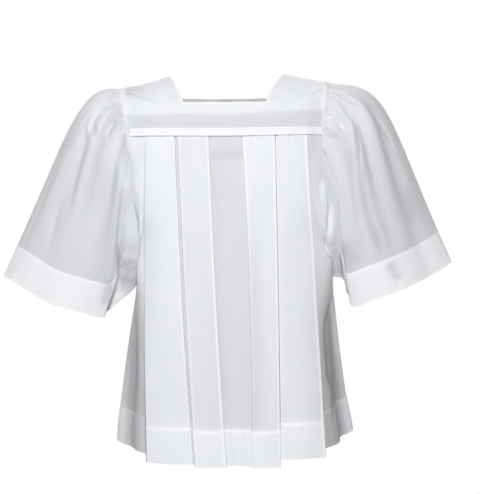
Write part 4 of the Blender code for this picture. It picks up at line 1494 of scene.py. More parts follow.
BACK_PANEL = PleatedPanel(
    face=Face.BACK,
    pleats=table(
        PLEAT_COLUMNS,
        (-0.1450, -0.1500, -0.1480, -0.0910, -0.0880, -0.0800, -0.1180, -0.1190, -0.1140, -0.7230,
         0.88, 0.0, 0.4, 0.4, 0.4, 0.4, 0.0, 0.3, 0.0004, 0.75, 0.2, 0.0),
        (-0.0872, -0.0842, -0.0762, -0.0320, -0.0290, -0.0230, -0.0600, -0.0560, -0.0500, -0.7270,
         0.84, 0.0, 0.4, 0.4, 0.6, 0.6, 0.0, 0.0, 0.0, 0.0, 0.0, 0.0),
        (0.0310, 0.0350, 0.0380, 0.0900, 0.0960, 0.0990, 0.0610, 0.0660, 0.0690, -0.7265,
         0.88, 0.0, 0.6, 0.5, 0.4, 0.4, 0.1, 0.0, 0.0006, 0.55, 0.0, 0.0),
        (0.0938, 0.0998, 0.1028, 0.1490, 0.1640, 0.1780, 0.1220, 0.1320, 0.1400, -0.7170,
         0.84, 0.0, 0.4, 0.4, 0.6, 0.6, 0.0, 0.0, 0.0, 0.0, 0.0, 0.0),
    ),
    hem=table(
        "x z",
        (-0.205, -0.6935), (-0.185, -0.7000), (-0.100, -0.7130), (0.000, -0.7230), (0.100, -0.7150),
        (0.180, -0.7010), (0.244, -0.6750),
    ),
    side_folds={
        Side.LEFT: table("place width out start", (0.25, 0.11, 0.008, 0.4), (0.50, 0.12, -0.014, 0.4)),
        Side.RIGHT: table("place width out start", (0.22, 0.10, 0.007, 0.4), (0.48, 0.11, -0.016, 0.4)),
    },
    body_creases=(),
    # The number before each crease's points is painted shade, below zero painted highlight.
    face_creases=crease_table(
        (SOFT, 0.006, -0.003, 0.2, 0.3, 0.3, (-0.176, -0.45), (-0.171, -0.52), (-0.174, -0.6)),
        (SHARP, 0.005, -0.0034, 0.15, 0.3, 0.4, (0.198, -0.44), (0.193, -0.51), (0.198, -0.61)),
        (SOFT, 0.008, -0.0012, 0.2, 0.6, 0.0, (-0.02, -0.135), (-0.015, -0.22), (-0.017, -0.33)),
        (SOFT, 0.012, 0.0018, 0.4, 0.4, 0.0, (0.018, -0.36), (0.01, -0.46), (0.014, -0.6)),
    ),
    columns_side=52,
    side_bulges={
        Side.LEFT: table("place width z height out", (0.30, 0.24, -0.310, 0.055, 0.0040)),
        Side.RIGHT: table("place width z height out", (0.30, 0.24, -0.300, 0.055, 0.0040)),
    },
    side_shading_and_show_through={
        Side.LEFT: table("place tone", (0, -0.35), (0.3, -0.1), (0.50, 0.60), (0.68, 0.25), (1, 0.2)),
        Side.RIGHT: table("place tone", (0, -0.35), (0.3, 0.0), (0.48, 0.65), (0.68, 0.30), (1, 0.2)),
    },
    wave_seed=8,
)


# ---------------------------------------------------------------- yoke, facing and band
@dataclass
class SquareYoke:
    """A yoke: two straps beside the neckline, the cloth below it and the facing turned in."""

    face: Face
    neck: Table
    creases: tuple[Crease, ...]
    wave_seed: int
    wave_height: float = 0.0006
    wave_size: float = 0.045
    sunk: float = 0.0016  # how far it dips above the band
    edge_rise: float = 0.0007  # at the armhole's turned seam
    shoulder: dict[Side, Table] = by_side(
        table("along x z", (0.0, 0.2050, -0.0250), (0.55, 0.1530, -0.0145), (1.0, 0.1095, 0.0000)),
        table("along x z", (0.0, 0.1950, -0.0115), (0.50, 0.1500, -0.0045), (1.0, 0.1095, 0.0035)),
    )
    neck_corner: float = 0.60  # share of the way down at which the neckline turns
    facing_strap: float = 0.22  # the facing's share of a strap's width
    facing_drop: float = 0.16  # the facing's share of the way down, below the neckline
    strap_bend: float = 1.5  # how soon the yoke flattens between the armhole and the neck
    columns_strap: int = 76
    columns_facing: int = 20
    columns_neck: int = 56
    rows_above: int = 62

    def shoulder_line(self, side: Side, share: Row) -> Grid:
        """The shoulder seam from the armhole (share 0) to the neck (share 1)."""
        line = self.shoulder[side]
        x = side.value * smooth(line["along"], line["x"], share)
        return np.stack([x, 0 * x, smooth(line["along"], line["z"], share)], axis=-1)

    def join_line(self, x: Row) -> Grid:
        """The lower edge of the yoke, over the tops of the pleats."""
        z = smooth(JOIN[self.face]["x"], JOIN[self.face]["z"], x)
        points, out, _ = BODY.cloth(self.face, BODY.turn_at_x(self.face, x, z), z)
        return points + seam_offset(x)[..., None] * out

    def neck_line(self, side: Side, down: Row) -> Grid:
        """Gives the neck side of a strap, on the neckline and on the cloth below its corner.

        Args:
            side: which strap.
            down: 0 at the shoulder and 1 at the band.

        Returns:
            The points.
        """
        line = self.neck
        x = side.value * smooth(line["down"], line[side.name], down)
        y = self.face.value * smooth(line["down"], line["reach"], down)
        z = smooth(line["down"], line["z"], down)
        last_x = side.value * line[side.name][-1]
        last = np.array([last_x, self.face.value * line["reach"][-1], line["z"][-1]])
        drop = self.join_line(np.array(last_x)) - last
        return np.stack([x, y, z], axis=-1) + ease(down)[..., None] * drop

    def arm_line(self, side: Side, down: Row) -> Grid:
        """The armhole side of a strap."""
        join_z = JOIN[self.face]["z"][0 if side is Side.LEFT else -1]
        angle = down * BODY.armhole_angle(side, join_z)
        return BODY.armhole(side, angle if self.face is Face.FRONT else 360 - angle)

    def strap(self, side: Side, share: Row, down: Row) -> Grid:
        """Gives the cloth of a strap.

        Args:
            side: which strap.
            share: 0 at the armhole and 1 at the neck.
            down: 0 at the shoulder and 1 at the band.

        Returns:
            The points.
        """
        level = 1 - (1 - share) ** self.strap_bend
        sloped = np.stack([share, level, level], axis=-1)
        levels = (down, 0 * down, 0 * down + 1)
        ruled, top, low = (mix(self.arm_line(side, at), self.neck_line(side, at), sloped) for at in levels)
        lower = ease(down)[..., None]
        top_gain = self.shoulder_line(side, share) - top
        return ruled + (1 - lower) * top_gain + lower * (self.join_line(low[..., 0]) - low)

    def breast(self, share: Row, down: Row) -> Grid:
        """The cloth below the neckline, from its left corner (share 0) to its right (share 1)."""
        wide = np.stack([share] * 3, axis=-1)
        ruled, low = (mix(*(self.neck_line(side, at) for side in Side), wide) for at in (down, 0 * down + 1))
        return ruled + ease(down)[..., None] * (self.join_line(low[..., 0]) - low)

    def places(self) -> tuple[Row, Row]:
        """Places the grid of the yoke.

        Returns:
            Columns from 0 (left armhole) by 1 and 2 (neck sides) to 3 (right), and rows from 0 to 1.
        """
        plain = np.linspace(0, 1 - self.facing_strap, self.columns_strap + 1)
        faced = np.linspace(1 - self.facing_strap, 1, self.columns_facing + 1)[1:]
        half = np.concatenate([plain, faced])
        middle = np.linspace(1, 2, self.columns_neck + 1)[1:-1]
        low = self.neck_corner + self.facing_drop
        above = np.linspace(0, self.neck_corner, self.rows_above)
        down = (above, np.linspace(self.neck_corner, low, 13), np.linspace(low, 1, 15))
        return np.concatenate([half, middle, 3 - half[::-1]]), np.unique(np.concatenate(down).round(9))

    def form(self, columns: Grid, rows: Grid) -> Grid:
        """Gives the smooth yoke.

        Args:
            columns: from 0 at the left armhole to 3 at the right one.
            rows: from 0 at the shoulder to 1 at the band.

        Returns:
            The points.
        """
        left = self.strap(Side.LEFT, np.clip(columns, 0, 1), rows)
        middle = self.breast(np.clip(columns - 1, 0, 1), rows)
        right = self.strap(Side.RIGHT, np.clip(3 - columns, 0, 1), rows)
        at = columns[..., None]
        return np.where(at <= 1, left, np.where(at < 2, middle, right))

    def grid(self) -> ClothGrid:
        """Makes the yoke's surface with its drag lines.

        Returns:
            The grid, from the shoulders down to the band.
        """
        across, down = self.places()
        columns, rows = np.meshgrid(across, down)
        points = self.form(columns, rows)
        outward = self.face.value * normals_of(points)
        x, z = points[..., 0], points[..., 2]
        at_side = np.minimum(columns, 3 - columns)
        free = ease(at_side / 0.05) * ease(rows / 0.04) * ease((1 - rows) / 0.08)
        waves = ripple(x + z, x - z, self.wave_seed, self.wave_size)
        relief = crease_heights(self.creases, x, z) + self.wave_height * waves
        sunk = -self.sunk * bell((rows - 0.90) / 0.06) * ease(at_side / 0.25)
        edge = self.edge_rise * bell(at_side / 0.035) * ease(rows / 0.03)
        points = points + (free * (relief + sunk) + edge)[..., None] * outward
        points[0, :, 1] = self.face.value * SEAM_GAP / 2
        points[-1, :, 2] += SEAM_GAP / 2
        outward = self.face.value * normals_of(points)
        outward[0] = unit(outward[0] * (1, 0, 1))
        outward[-1] = unit(outward[-1] * (1, 1, 0))
        # Whiter above the facing's edge all across the yoke: doubled cloth near the neck, painted light out
        # to the armholes. Creases paint shade; the edge mask paints highlights along the armhole seams and
        # the neckline's fold.
        facing_end = self.neck_corner + self.facing_drop + 0.018 * ripple(x, 0 * x, self.wave_seed + 1, 0.05)
        layers = mix(0.47, 0.77, ease((facing_end - rows) / 0.05 + 0.5)) - crease_painted_shading(self.creases, x, z)
        pressed = 0.42 * bell(at_side / 0.018) + 0.5 * self.at_neckline(columns, rows)
        in_neck = (across[:-1] >= 1) & (across[:-1] < 2) & (down[:-1, None] < self.neck_corner - 1e-6)
        along = points[..., 1] * self.face.value - z
        return ClothGrid(points, outward, x, along, layers, pressed, keep=~in_neck)

    def at_neckline(self, columns: Grid, rows: Grid) -> Grid:
        """Gives how near the neckline's fold is.

        Args:
            columns: as in `form`.
            rows: as in `form`.

        Returns:
            1 on the fold and 0 a few millimetres away.
        """
        above = rows <= self.neck_corner
        beside = np.minimum(abs(columns - 1), abs(columns - 2)) * above + ~above
        below = abs(rows - self.neck_corner) / 0.03 + 9 * ((columns < 1) | (columns > 2))
        return np.maximum(bell(beside / 0.02), bell(below))

    def build(self) -> ClothGrid:
        """Makes the yoke and its facing.

        Returns:
            The yoke's grid.
        """
        name = self.face.name.lower()
        grid = self.grid()
        yoke = ClothPiece(f"yoke_{name}", grid).build()
        across, down = self.places()
        last_row = int(np.searchsorted(down, self.neck_corner + self.facing_drop - 1e-6))
        first = int(np.searchsorted(across, 1 - self.facing_strap - 1e-6))
        faced = grid.part((0, last_row), (first, len(across) - 1 - first)).moved(-PLY_LIFT)
        facing = ClothPiece(f"neck_facing_{name}", faced, PLY_THICKNESS).build()
        return grid


@dataclass
class YokeBand:
    """The flat strip over the seam of yoke and body, with its two edges turned in."""

    face: Face
    width: float = 0.015
    lift: float = 0.0015
    reach: tuple[float, float] = (-0.1795, 0.1805)
    edge_rise: float = 0.00025  # over its turned-in edges
    edge_round: float = 0.0004  # how far it falls at the very edge
    pucker: float = 0.00022  # between the stitches of its edges
    pucker_size: float = 0.009
    wave_seed: int = 5
    columns: int = 240

    def grid(self) -> ClothGrid:
        """Makes the strip's surface, with thicker edges.

        Returns:
            The grid, from its upper edge down.
        """
        x = np.linspace(*self.reach, self.columns + 1)
        half = np.array([0.25, 0.5, 0.62, 0.74, 0.86, 0.94, 1])
        x, share = np.meshgrid(x, np.concatenate([-half[::-1], [0], half]))
        z = smooth(JOIN[self.face]["x"], JOIN[self.face]["z"], x) - share * self.width / 2
        points, out, _ = BODY.cloth(self.face, BODY.turn_at_x(self.face, x, z), z)
        turned_in, last = ease((abs(share) - 0.45) / 0.2), ease((abs(share) - 0.9) / 0.1)
        edges = self.edge_rise * turned_in - self.edge_round * last
        pucker = self.pucker * ripple(0 * x, x, self.wave_seed, self.pucker_size) * abs(share)
        points = points + (seam_offset(x) + self.lift + edges + pucker)[..., None] * out
        # The turned-in edges are whiter as doubled cloth; a painted highlight lies over the whole band,
        # stronger at its edges.
        layers = mix(0.93, 1.0, abs(share))
        return ClothGrid(points, out, x, -z, layers, 0.2 + 0.3 * ease((abs(share) - 0.8) / 0.2))

    def build(self) -> ClothGrid:
        """Makes the strip.

        Returns:
            Its grid.
        """
        name = self.face.name.lower()
        grid = self.grid()
        band = ClothPiece(f"yoke_band_{name}", grid).build()
        return grid


FRONT_YOKE = SquareYoke(
    face=Face.FRONT,
    neck=table(
        "down LEFT RIGHT reach z",
        (0.0, 0.1095, 0.1095, 0.000, 0.001),
        (0.3, 0.0955, 0.0935, 0.042, -0.0240),
        (0.6, 0.0800, 0.0765, 0.0800, -0.0610),
        (0.8, 0.0800, 0.0765, 0.0935, -0.0890),
        (1.0, 0.0800, 0.0765, 0.1040, -0.1195),
    ),
    # The number before each crease's points is painted shade; a crease of no height is painted shade alone.
    creases=crease_table(
        (SHARP, 0.0017, -0.0024, 0.05, 0.2, 0.35, (-0.1988, -0.0356), (-0.1817, -0.0413), (-0.157, -0.0489),
         (-0.14, -0.0565), (-0.1286, -0.0622), (-0.1229, -0.0613)),
        (SOFT, 0.0045, 0.0014, 0.25, 0.35, 0.0, (-0.195, -0.03), (-0.1627, -0.0385), (-0.1343, -0.0489)),
        (SHARP, 0.0024, -0.0022, 0.08, 0.45, 0.3, (0.2053, -0.0271), (0.175, -0.0366), (0.1446, -0.0489)),
        (SOFT, 0.0045, 0.0014, 0.25, 0.35, 0.0, (0.1996, -0.0186), (0.175, -0.0252), (0.1503, -0.0337)),
        (SOFT, 0.0028, -0.0012, 0.25, 0.35, 0.0, (0.1826, -0.0252), (0.1636, -0.0205), (0.1465, -0.0176)),
        (SOFT, 0.003, 0.0005, 0.25, 0.35, 0.0, (-0.1703, -0.0698), (-0.1437, -0.0717), (-0.1058, -0.0698)),
        (SOFT, 0.016, 0.0, 0.1, 0.5, 0.35, (-0.196, -0.035), (-0.172, -0.033), (-0.145, -0.028)),
    ),
    wave_seed=21,
)
BACK_YOKE = SquareYoke(
    face=Face.BACK,
    neck=table(
        "down LEFT RIGHT reach z",
        (0.0, 0.1095, 0.1095, 0.000, 0.001),
        (0.3, 0.1020, 0.1010, 0.036, -0.0110),
        (0.6, 0.0920, 0.0900, 0.0640, -0.0360),
        (0.8, 0.0920, 0.0900, 0.0800, -0.0720),
        (1.0, 0.0920, 0.0900, 0.0930, -0.1155),
    ),
    creases=crease_table(
        (SOFT, 0.0036, -0.0016, 0.25, 0.35, 0.0, (-0.192, -0.044), (-0.156, -0.052), (-0.124, -0.06)),
        (SOFT, 0.0036, -0.0018, 0.25, 0.35, 0.0, (0.19, -0.035), (0.16, -0.044), (0.122, -0.056)),
        (SOFT, 0.004, 0.0012, 0.25, 0.35, 0.0, (0.188, -0.029), (0.16, -0.037), (0.126, -0.048)),
    ),
    wave_seed=25,
    columns_strap=50,
    columns_facing=14,
    rows_above=40,
)


# ---------------------------------------------------------------- sleeves
# How a sleeve leaves the armhole and reaches its open end, by degrees from the shoulder tip: the
# solids' room at the seam, and the handles of the curve down the cloth at its start and its end.
SLEEVE_LINES = table(
    "angle clear lead_out lead_fore lead_up tail_in tail_fore tail_up",
    (0, 0.0007, 0.080, 0.000, 0.014, 0.131, 0.000, 0.290),
    (28, 0.0008, 0.075, 0.020, 0.012, 0.120, 0.030, 0.280),
    (52, 0.0010, 0.060, 0.036, 0.000, 0.090, 0.030, 0.250),
    (68, 0.0013, 0.038, 0.034, -0.018, 0.055, 0.018, 0.200),
    (82, 0.0015, 0.024, 0.026, -0.032, 0.026, 0.010, 0.120),
    (100, 0.0015, 0.018, 0.018, -0.030, 0.016, 0.010, 0.080),
    (130, 0.0015, 0.010, 0.008, -0.025, 0.008, 0.008, 0.045),
    (180, 0.0015, 0.003, 0.000, -0.015, 0.000, 0.000, 0.025),
)


@dataclass
class BellSleeve:
    """A short bell sleeve, gathered into the armhole, and the ply of its cuff."""

    side: Side
    cuff: Table
    folds: Table
    creases: dict[Face, tuple[Crease, ...]]
    puff: float  # fullness of the cap
    rise: float  # height of the cap, added to the way that the cloth leaves the armhole
    gather_seed: int
    white: float  # how white the single cloth looks, lower on the right sleeve as painted shade
    gathers: int = 15
    gather_spread: float = 105.0  # degrees to each side of the shoulder tip
    gather_depth: float = 0.0030
    cuff_depth: float = 0.064
    tuck_in: float = 0.006  # share of its length that is turned in under the armhole's seam
    seam_clear: float = 0.25  # share of the solids' room at the seam that is left open
    web_angle: float = 128.0  # where the body pushes the cloth under the arm forwards
    web_width: float = 30.0
    web_push: float = 0.020
    web_in: float = 0.016  # how far the cloth under the arm leans in to the body
    web_in_angle: float = 128.0
    web_in_width: float = 19.0
    web_painted_shade: float = 0.85  # painted shade under the arm: how much of the cuff's second layer's whitening is taken away there
    clearance: float = 0.0012  # between the middles of the cloth of sleeve and body
    measured_row: int = 30  # along which the width of the cloth is measured
    length: float = 0.43
    wave_height: float = 0.0011
    wave_size: float = 0.055
    seam_sink: float = 0.0011  # how far the cloth sinks at the armhole's seam
    hem_rise: float = 0.0004  # how far the doubled cuff stands out, and how deep its upper edge is pressed

    def form(self, angles: Grid, rows: Grid) -> Grid:
        """Gives the smooth sleeve.

        Args:
            angles: degrees round it, as round the armhole.
            rows: 0 at the armhole and 1 at the open end.

        Returns:
            The points.
        """
        angles = np.mod(angles, 360.0)
        outwards = self.side.value
        fore = np.where(angles <= 180, -1, 1)
        mirrored = 180 - abs(180 - angles)
        lines = {name: smooth(SLEEVE_LINES["angle"], line, mirrored) for name, line in SLEEVE_LINES.items()}
        start = BODY.armhole(self.side, angles)
        start[..., 0] += outwards * self.seam_clear * lines["clear"]
        end = np.stack([smooth_round(self.cuff["angle"], self.cuff[axis], angles) for axis in "xyz"], axis=-1)
        lead_out = outwards * self.puff * lines["lead_out"]
        lead_up = lines["lead_up"] + self.rise * np.cos(np.radians(mirrored / 2)) ** 2
        lead = np.stack([lead_out, fore * lines["lead_fore"], lead_up], axis=-1)
        tail = np.stack([-outwards * lines["tail_in"], fore * lines["tail_fore"], lines["tail_up"]], axis=-1)
        t = rows[..., None]
        handles = 3 * (1 - t) ** 2 * t * (start + lead) + 3 * (1 - t) * t**2 * (end + tail)
        return (1 - t) ** 3 * start + handles + t**3 * end

    def square_to(self, angles: Grid, rows: Grid) -> Grid:
        """Outward directions of the smooth sleeve."""
        round_it = self.form(angles + 0.5, rows) - self.form(angles - 0.5, rows)
        down_it = self.form(angles, rows + 0.004) - self.form(angles, rows - 0.004)
        return self.side.value * unit(np.cross(round_it, down_it))

    def gather_relief(self, angles: Grid, rows: Grid) -> Grid:
        """Makes the uneven gathers over the cap.

        Args:
            angles: degrees round the sleeve.
            rows: 0 at the armhole and 1 at the open end.

        Returns:
            How far the cloth stands out.
        """
        draw = np.random.default_rng(self.gather_seed)
        step = 2 * self.gather_spread / self.gathers
        from_tip = (angles + 180) % 360 - 180
        relief = np.zeros(angles.shape)
        for index in range(self.gathers):
            centre = -self.gather_spread + step * (index + 0.5 + draw.uniform(-0.28, 0.28))
            width = step * draw.uniform(0.24, 0.40)
            height = self.gather_depth * draw.uniform(0.55, 1.45)
            reach = draw.uniform(0.08, 0.24)
            lean = draw.uniform(-22, 22)
            bump = bell((from_tip - centre - lean * rows) / width) - 0.45
            relief += height * bump * bell((rows - 0.045) / reach) * (abs(from_tip - centre) < 2.2 * step)
        on_cap = ease((self.gather_spread - abs(from_tip)) / 45)
        return relief * on_cap * ease(rows / 0.022)

    def fold_relief(self, angles: Grid, rows: Grid) -> Grid:
        """Gives how far gathers and long folds stand out of the smooth sleeve.

        Args:
            angles: degrees round the sleeve.
            rows: 0 at the armhole and 1 at the open end.

        Returns:
            The heights.
        """
        relief = self.gather_relief(angles, rows) - self.seam_sink * (1 - ease((rows + 0.004) / 0.012))
        for angle, width, out, peak, reach, start in zip(*self.folds.values()):
            away = (angles - angle + 180) % 360 - 180
            relief = relief + out * bell((rows - peak) / reach) * ease(rows / start) * bell(away / width)
        across = self.round_distance(angles)
        waves = ripple(rows * self.length, across, self.gather_seed + 50, self.wave_size)
        return relief + self.wave_height * ease(rows / 0.15) * waves

    def read_creases(self, reader: Callable[..., Grid], angles: Grid, points: Grid) -> Grid:
        """Reads the creases of both faces at points of the sleeve.

        Args:
            reader: what is read of them.
            angles: degrees round the sleeve.
            points: the points.

        Returns:
            The values.
        """
        x, z = points[..., 0], points[..., 2]
        return sum(self.facing(face, angles) * reader(drawn, x, z) for face, drawn in self.creases.items())

    def facing(self, face: Face, angles: Grid) -> Grid:
        """1 on the front or back of the sleeve and 0 on the other."""
        return ease(-face.value * np.sin(np.radians(angles)) * 3.0)

    def pushed(self, angles: Grid, rows: Grid) -> Grid:
        """How far the body pushes the cloth under the arm to the front and to the back."""
        away = (180 - abs(180 - np.mod(angles, 360)) - self.web_angle) / self.web_width
        fore = -np.tanh(3 * np.sin(np.radians(angles)))
        return fore * self.web_push * bell(away) * ease((rows - 0.10) / 0.40)

    def leaned(self, angles: Grid, rows: Grid) -> Grid:
        """How far the cloth in front of the underarm and behind it leans in to the body."""
        away = (180 - abs(180 - np.mod(angles, 360)) - self.web_in_angle) / self.web_in_width
        return self.web_in * bell(away) * ease((rows - 0.03) / 0.30)

    def round_distance(self, angles: Grid) -> Grid:
        """A rough distance round the sleeve that meets itself behind."""
        return 0.10 * np.sin(np.radians(angles)) + 0.06 * np.sin(np.radians(2 * angles))

    def places(self) -> tuple[Grid, Grid, int]:
        """Places the sleeve's grid.

        Returns:
            Angles, rows, and the number of the row on which the cuff's hem starts.
        """
        spans = ((-105, -5, 74), (-5, 76, 92), (76, 90, 28), (90, 112, 18), (112, 255, 52))
        angles = np.concatenate([np.linspace(start, end, count + 1)[:-1] for start, end, count in spans])
        start = np.array([-self.tuck_in, -0.5 * self.tuck_in, 0.0, 0.003])
        body = np.concatenate([start, np.linspace(0.007, 0.34, 62)[:-1], np.linspace(0.34, 0.975, 40)])
        near_hem = np.array([0.988, 0.995, 1.0, 1.012, 1.03, 1.06])
        levels = np.concatenate([body, near_hem, np.linspace(1.12, 2, 12)])
        top = self.cuff_top(angles)
        rows = np.stack([np.interp(levels, (-1, 0, 1, 2), (-1, 0, share, 1)) for share in top], axis=1)
        return np.tile(angles, (len(levels), 1)), rows, int(np.searchsorted(levels, 1.0))

    def cuff_top(self, angles: Row) -> Row:
        """Finds where the cuff's hem starts.

        Args:
            angles: degrees round the sleeve.

        Returns:
            Share of the way down, at each angle.
        """
        wide, rows = np.meshgrid(angles, np.linspace(0, 1, 61))
        lengths = np.linalg.norm(np.diff(self.form(wide, rows), axis=0), axis=-1)
        from_edge = np.concatenate([np.cumsum(lengths[::-1], axis=0)[::-1], 0 * lengths[:1]])
        return np.array([np.interp(-self.cuff_depth, -lengths, rows[:, 0]) for lengths in from_edge.T])

    def grid(self, panels: Iterable[ClothGrid] = ()) -> tuple[ClothGrid, int]:
        """Makes the sleeve's surface.

        Args:
            panels: the body's cloth, which it lies against under the arm.

        Returns:
            The grid from the armhole to the open end, and the row on which the cuff's hem starts.
        """
        angles, rows, hem_row = self.places()
        points = self.form(angles, rows)
        square = self.square_to(angles, rows)
        points = points + self.fold_relief(angles, rows)[..., None] * square
        points[..., 1] += self.pushed(angles, rows)
        points[..., 0] -= self.side.value * self.leaned(angles, rows)
        painted_tones = self.read_creases(crease_painted_shading, angles, points)
        points = points + self.read_creases(crease_heights, angles, points)[..., None] * square
        under_arm = abs(180 - angles) < 95
        room = np.where(under_arm, self.clearance * ease((rows + 0.002) / 0.022), 0.0)
        points = kept_clear(points, panels, room)
        outward = self.side.value * normals_of(points, closed=True)
        level = np.arange(len(rows)) - hem_row
        step = self.hem_rise * ease((level + 0.5) / 2.0) - self.hem_rise * bell((level - 1.0) / 0.9)
        points = points + step[:, None, None] * outward
        across = np.tile(distances_along(points[self.measured_row]), (len(rows), 1))
        steps = np.linalg.norm(np.diff(points, axis=0), axis=2).mean(axis=1)
        along = np.tile(np.concatenate([[0], np.cumsum(steps)])[:, None], (1, across.shape[1]))
        # Painted shade under the arm and in creases; painted highlights along the armhole seam and on the
        # cuff, kept out of the painted shade.
        plain = self.web_painted_shade * ease((angles - 98) / 14) * ease((250 - angles) / 30)
        layers = mix(self.white, 1.0, ease((level + 1) / 2.0)[:, None] * (1 - plain)) - painted_tones
        cuff_highlight = 0.30 * ease((level + 1) / 2.0) + 0.3 * ease((level - level.max() + 2) / 2.0)
        cuff_highlight = cuff_highlight + 0.35 * bell((level - 2.0) / 1.2)
        bright = cuff_highlight[:, None] * (1 - np.clip(1.5 * painted_tones, 0, 1)) * (1 - plain)
        pressed = 0.55 * bell(rows / 0.008) + bright
        return ClothGrid(points, outward, across, along, layers, pressed, closed=True), hem_row

    def build(self, panels: Iterable[ClothGrid]) -> tuple[ClothGrid, int]:
        """Makes the sleeve and the ply of its cuff.

        Args:
            panels: the body's cloth.

        Returns:
            The sleeve's grid and the row on which the cuff's hem starts.
        """
        name = self.side.name.lower()
        grid, hem_row = self.grid(panels)
        sleeve = ClothPiece(f"sleeve_{name}", grid).build()
        cuff = ClothPiece(f"cuff_{name}", grid.ply((hem_row, len(grid.points) - 1)), PLY_THICKNESS).build()
        return grid, hem_row


# The number before each crease's points is painted shade, below zero painted highlight; creases of no height
# are painted shade or highlight alone.
LEFT_CREASES = crease_table(
    (SOFT, 0.0022, 0.003, 0.2, 0.2, -0.45, (-0.2299, -0.0785), (-0.2393, -0.0804), (-0.2477, -0.086)),
    (SOFT, 0.0042, 0.0042, 0.1, 0.5, -0.15, (-0.2477, -0.086), (-0.2542, -0.0973), (-0.258, -0.1104),
     (-0.2586, -0.1273), (-0.2561, -0.1479)),
    (SHARP, 0.0022, -0.0024, 0.3, 0.2, 0.0, (-0.2139, -0.0626), (-0.228, -0.0672), (-0.2393, -0.0738),
     (-0.2496, -0.086)),
    (SOFT, 0.004, -0.003, 0.2, 0.4, 0.0, (-0.2458, -0.1029), (-0.2458, -0.1179), (-0.2421, -0.1348),
     (-0.2336, -0.1535)),
    (SOFT, 0.0036, 0.0034, 0.15, 0.5, -0.18, (-0.2074, -0.101), (-0.2158, -0.1122), (-0.2214, -0.1254),
     (-0.2168, -0.1516)),
    (SOFT, 0.0026, -0.0018, 0.2, 0.4, 0.0, (-0.2083, -0.1085), (-0.213, -0.1179), (-0.2139, -0.1291),
     (-0.2074, -0.1441)),
    (SOFT, 0.007, -0.003, 0.15, 0.45, 0.08, (-0.2617, -0.0991), (-0.2664, -0.1291), (-0.273, -0.1666),
     (-0.2805, -0.2041), (-0.2918, -0.2548), (-0.2993, -0.311)),
    (SOFT, 0.0026, -0.003, 0.2, 0.4, 0.0, (-0.2552, -0.0766), (-0.2655, -0.0916), (-0.2767, -0.1085),
     (-0.2843, -0.1197)),
    (SHARP, 0.0022, -0.0016, 0.4, 0.3, 0.0, (-0.243, -0.0485), (-0.2299, -0.0419), (-0.2149, -0.0391)),
    (SOFT, 0.002, -0.0022, 0.1, 0.1, 0.0, (-0.1961, -0.0579), (-0.2055, -0.0597), (-0.2121, -0.0654),
     (-0.2074, -0.0719), (-0.198, -0.071)),
    (SOFT, 0.008, -0.0022, 0.3, 0.5, 0.05, (-0.2336, -0.1554), (-0.2346, -0.1797), (-0.2393, -0.2172),
     (-0.2486, -0.2735), (-0.258, -0.3298)),
    (SOFT, 0.006, 0.003, 0.3, 0.5, 0.0, (-0.213, -0.1516), (-0.2111, -0.1985), (-0.2168, -0.2548),
     (-0.2243, -0.3204)),
    (SOFT, 0.005, -0.005, 0.7, 0.2, 0.0, (-0.1868, -0.1704), (-0.1886, -0.2172), (-0.1961, -0.2735),
     (-0.2008, -0.3298), (-0.2036, -0.386)),
    (SOFT, 0.005, 0.004, 0.2, 0.2, 0.0, (-0.2018, -0.3504), (-0.1849, -0.3523), (-0.168, -0.3616)),
    (SOFT, 0.007, -0.006, 0.2, 0.2, 0.0, (-0.2018, -0.3729), (-0.1868, -0.3766), (-0.1718, -0.3879)),
    (SOFT, 0.007, -0.0026, 0.4, 0.3, 0.0, (-0.3105, -0.236), (-0.3255, -0.2923), (-0.3349, -0.3391)),
    (SOFT, 0.004, 0.002, 0.3, 0.4, 0.0, (-0.198, -0.0954), (-0.2018, -0.1235), (-0.1961, -0.1516)),
    (SHARP, 0.0028, -0.0055, 0.35, 0.0, 0.9, (-0.1985, -0.312), (-0.2, -0.362), (-0.201, -0.388),
     (-0.2105, -0.4215), (-0.22, -0.45), (-0.226, -0.468)),
    (SHARP, 0.0026, 0.0, 0.4, 0.0, 1.1, (-0.202, -0.405), (-0.2105, -0.4215), (-0.22, -0.45),
     (-0.226, -0.468)),
    (SOFT, 0.013, 0.0, 0.1, 0.1, 0.25, (-0.196, -0.365), (-0.185, -0.37), (-0.174, -0.38)),
    (SOFT, 0.013, 0.0, 0.1, 0.1, 0.55, (-0.2, -0.395), (-0.186, -0.393), (-0.173, -0.396)),
    (SOFT, 0.006, 0.0, 0.1, 0.1, -0.45, (-0.207, -0.434), (-0.2, -0.425), (-0.193, -0.418)),
    (SOFT, 0.008, 0.0, 0.3, 0.1, 0.5, (-0.218, -0.393), (-0.224, -0.415), (-0.23, -0.444)),
    (SOFT, 0.009, 0.0, 0.3, 0.3, -0.28, (-0.196, -0.155), (-0.191, -0.2), (-0.186, -0.24)),
    (SOFT, 0.012, 0.0, 0.3, 0.3, -0.2, (-0.184, -0.26), (-0.185, -0.3), (-0.18, -0.34)),
)
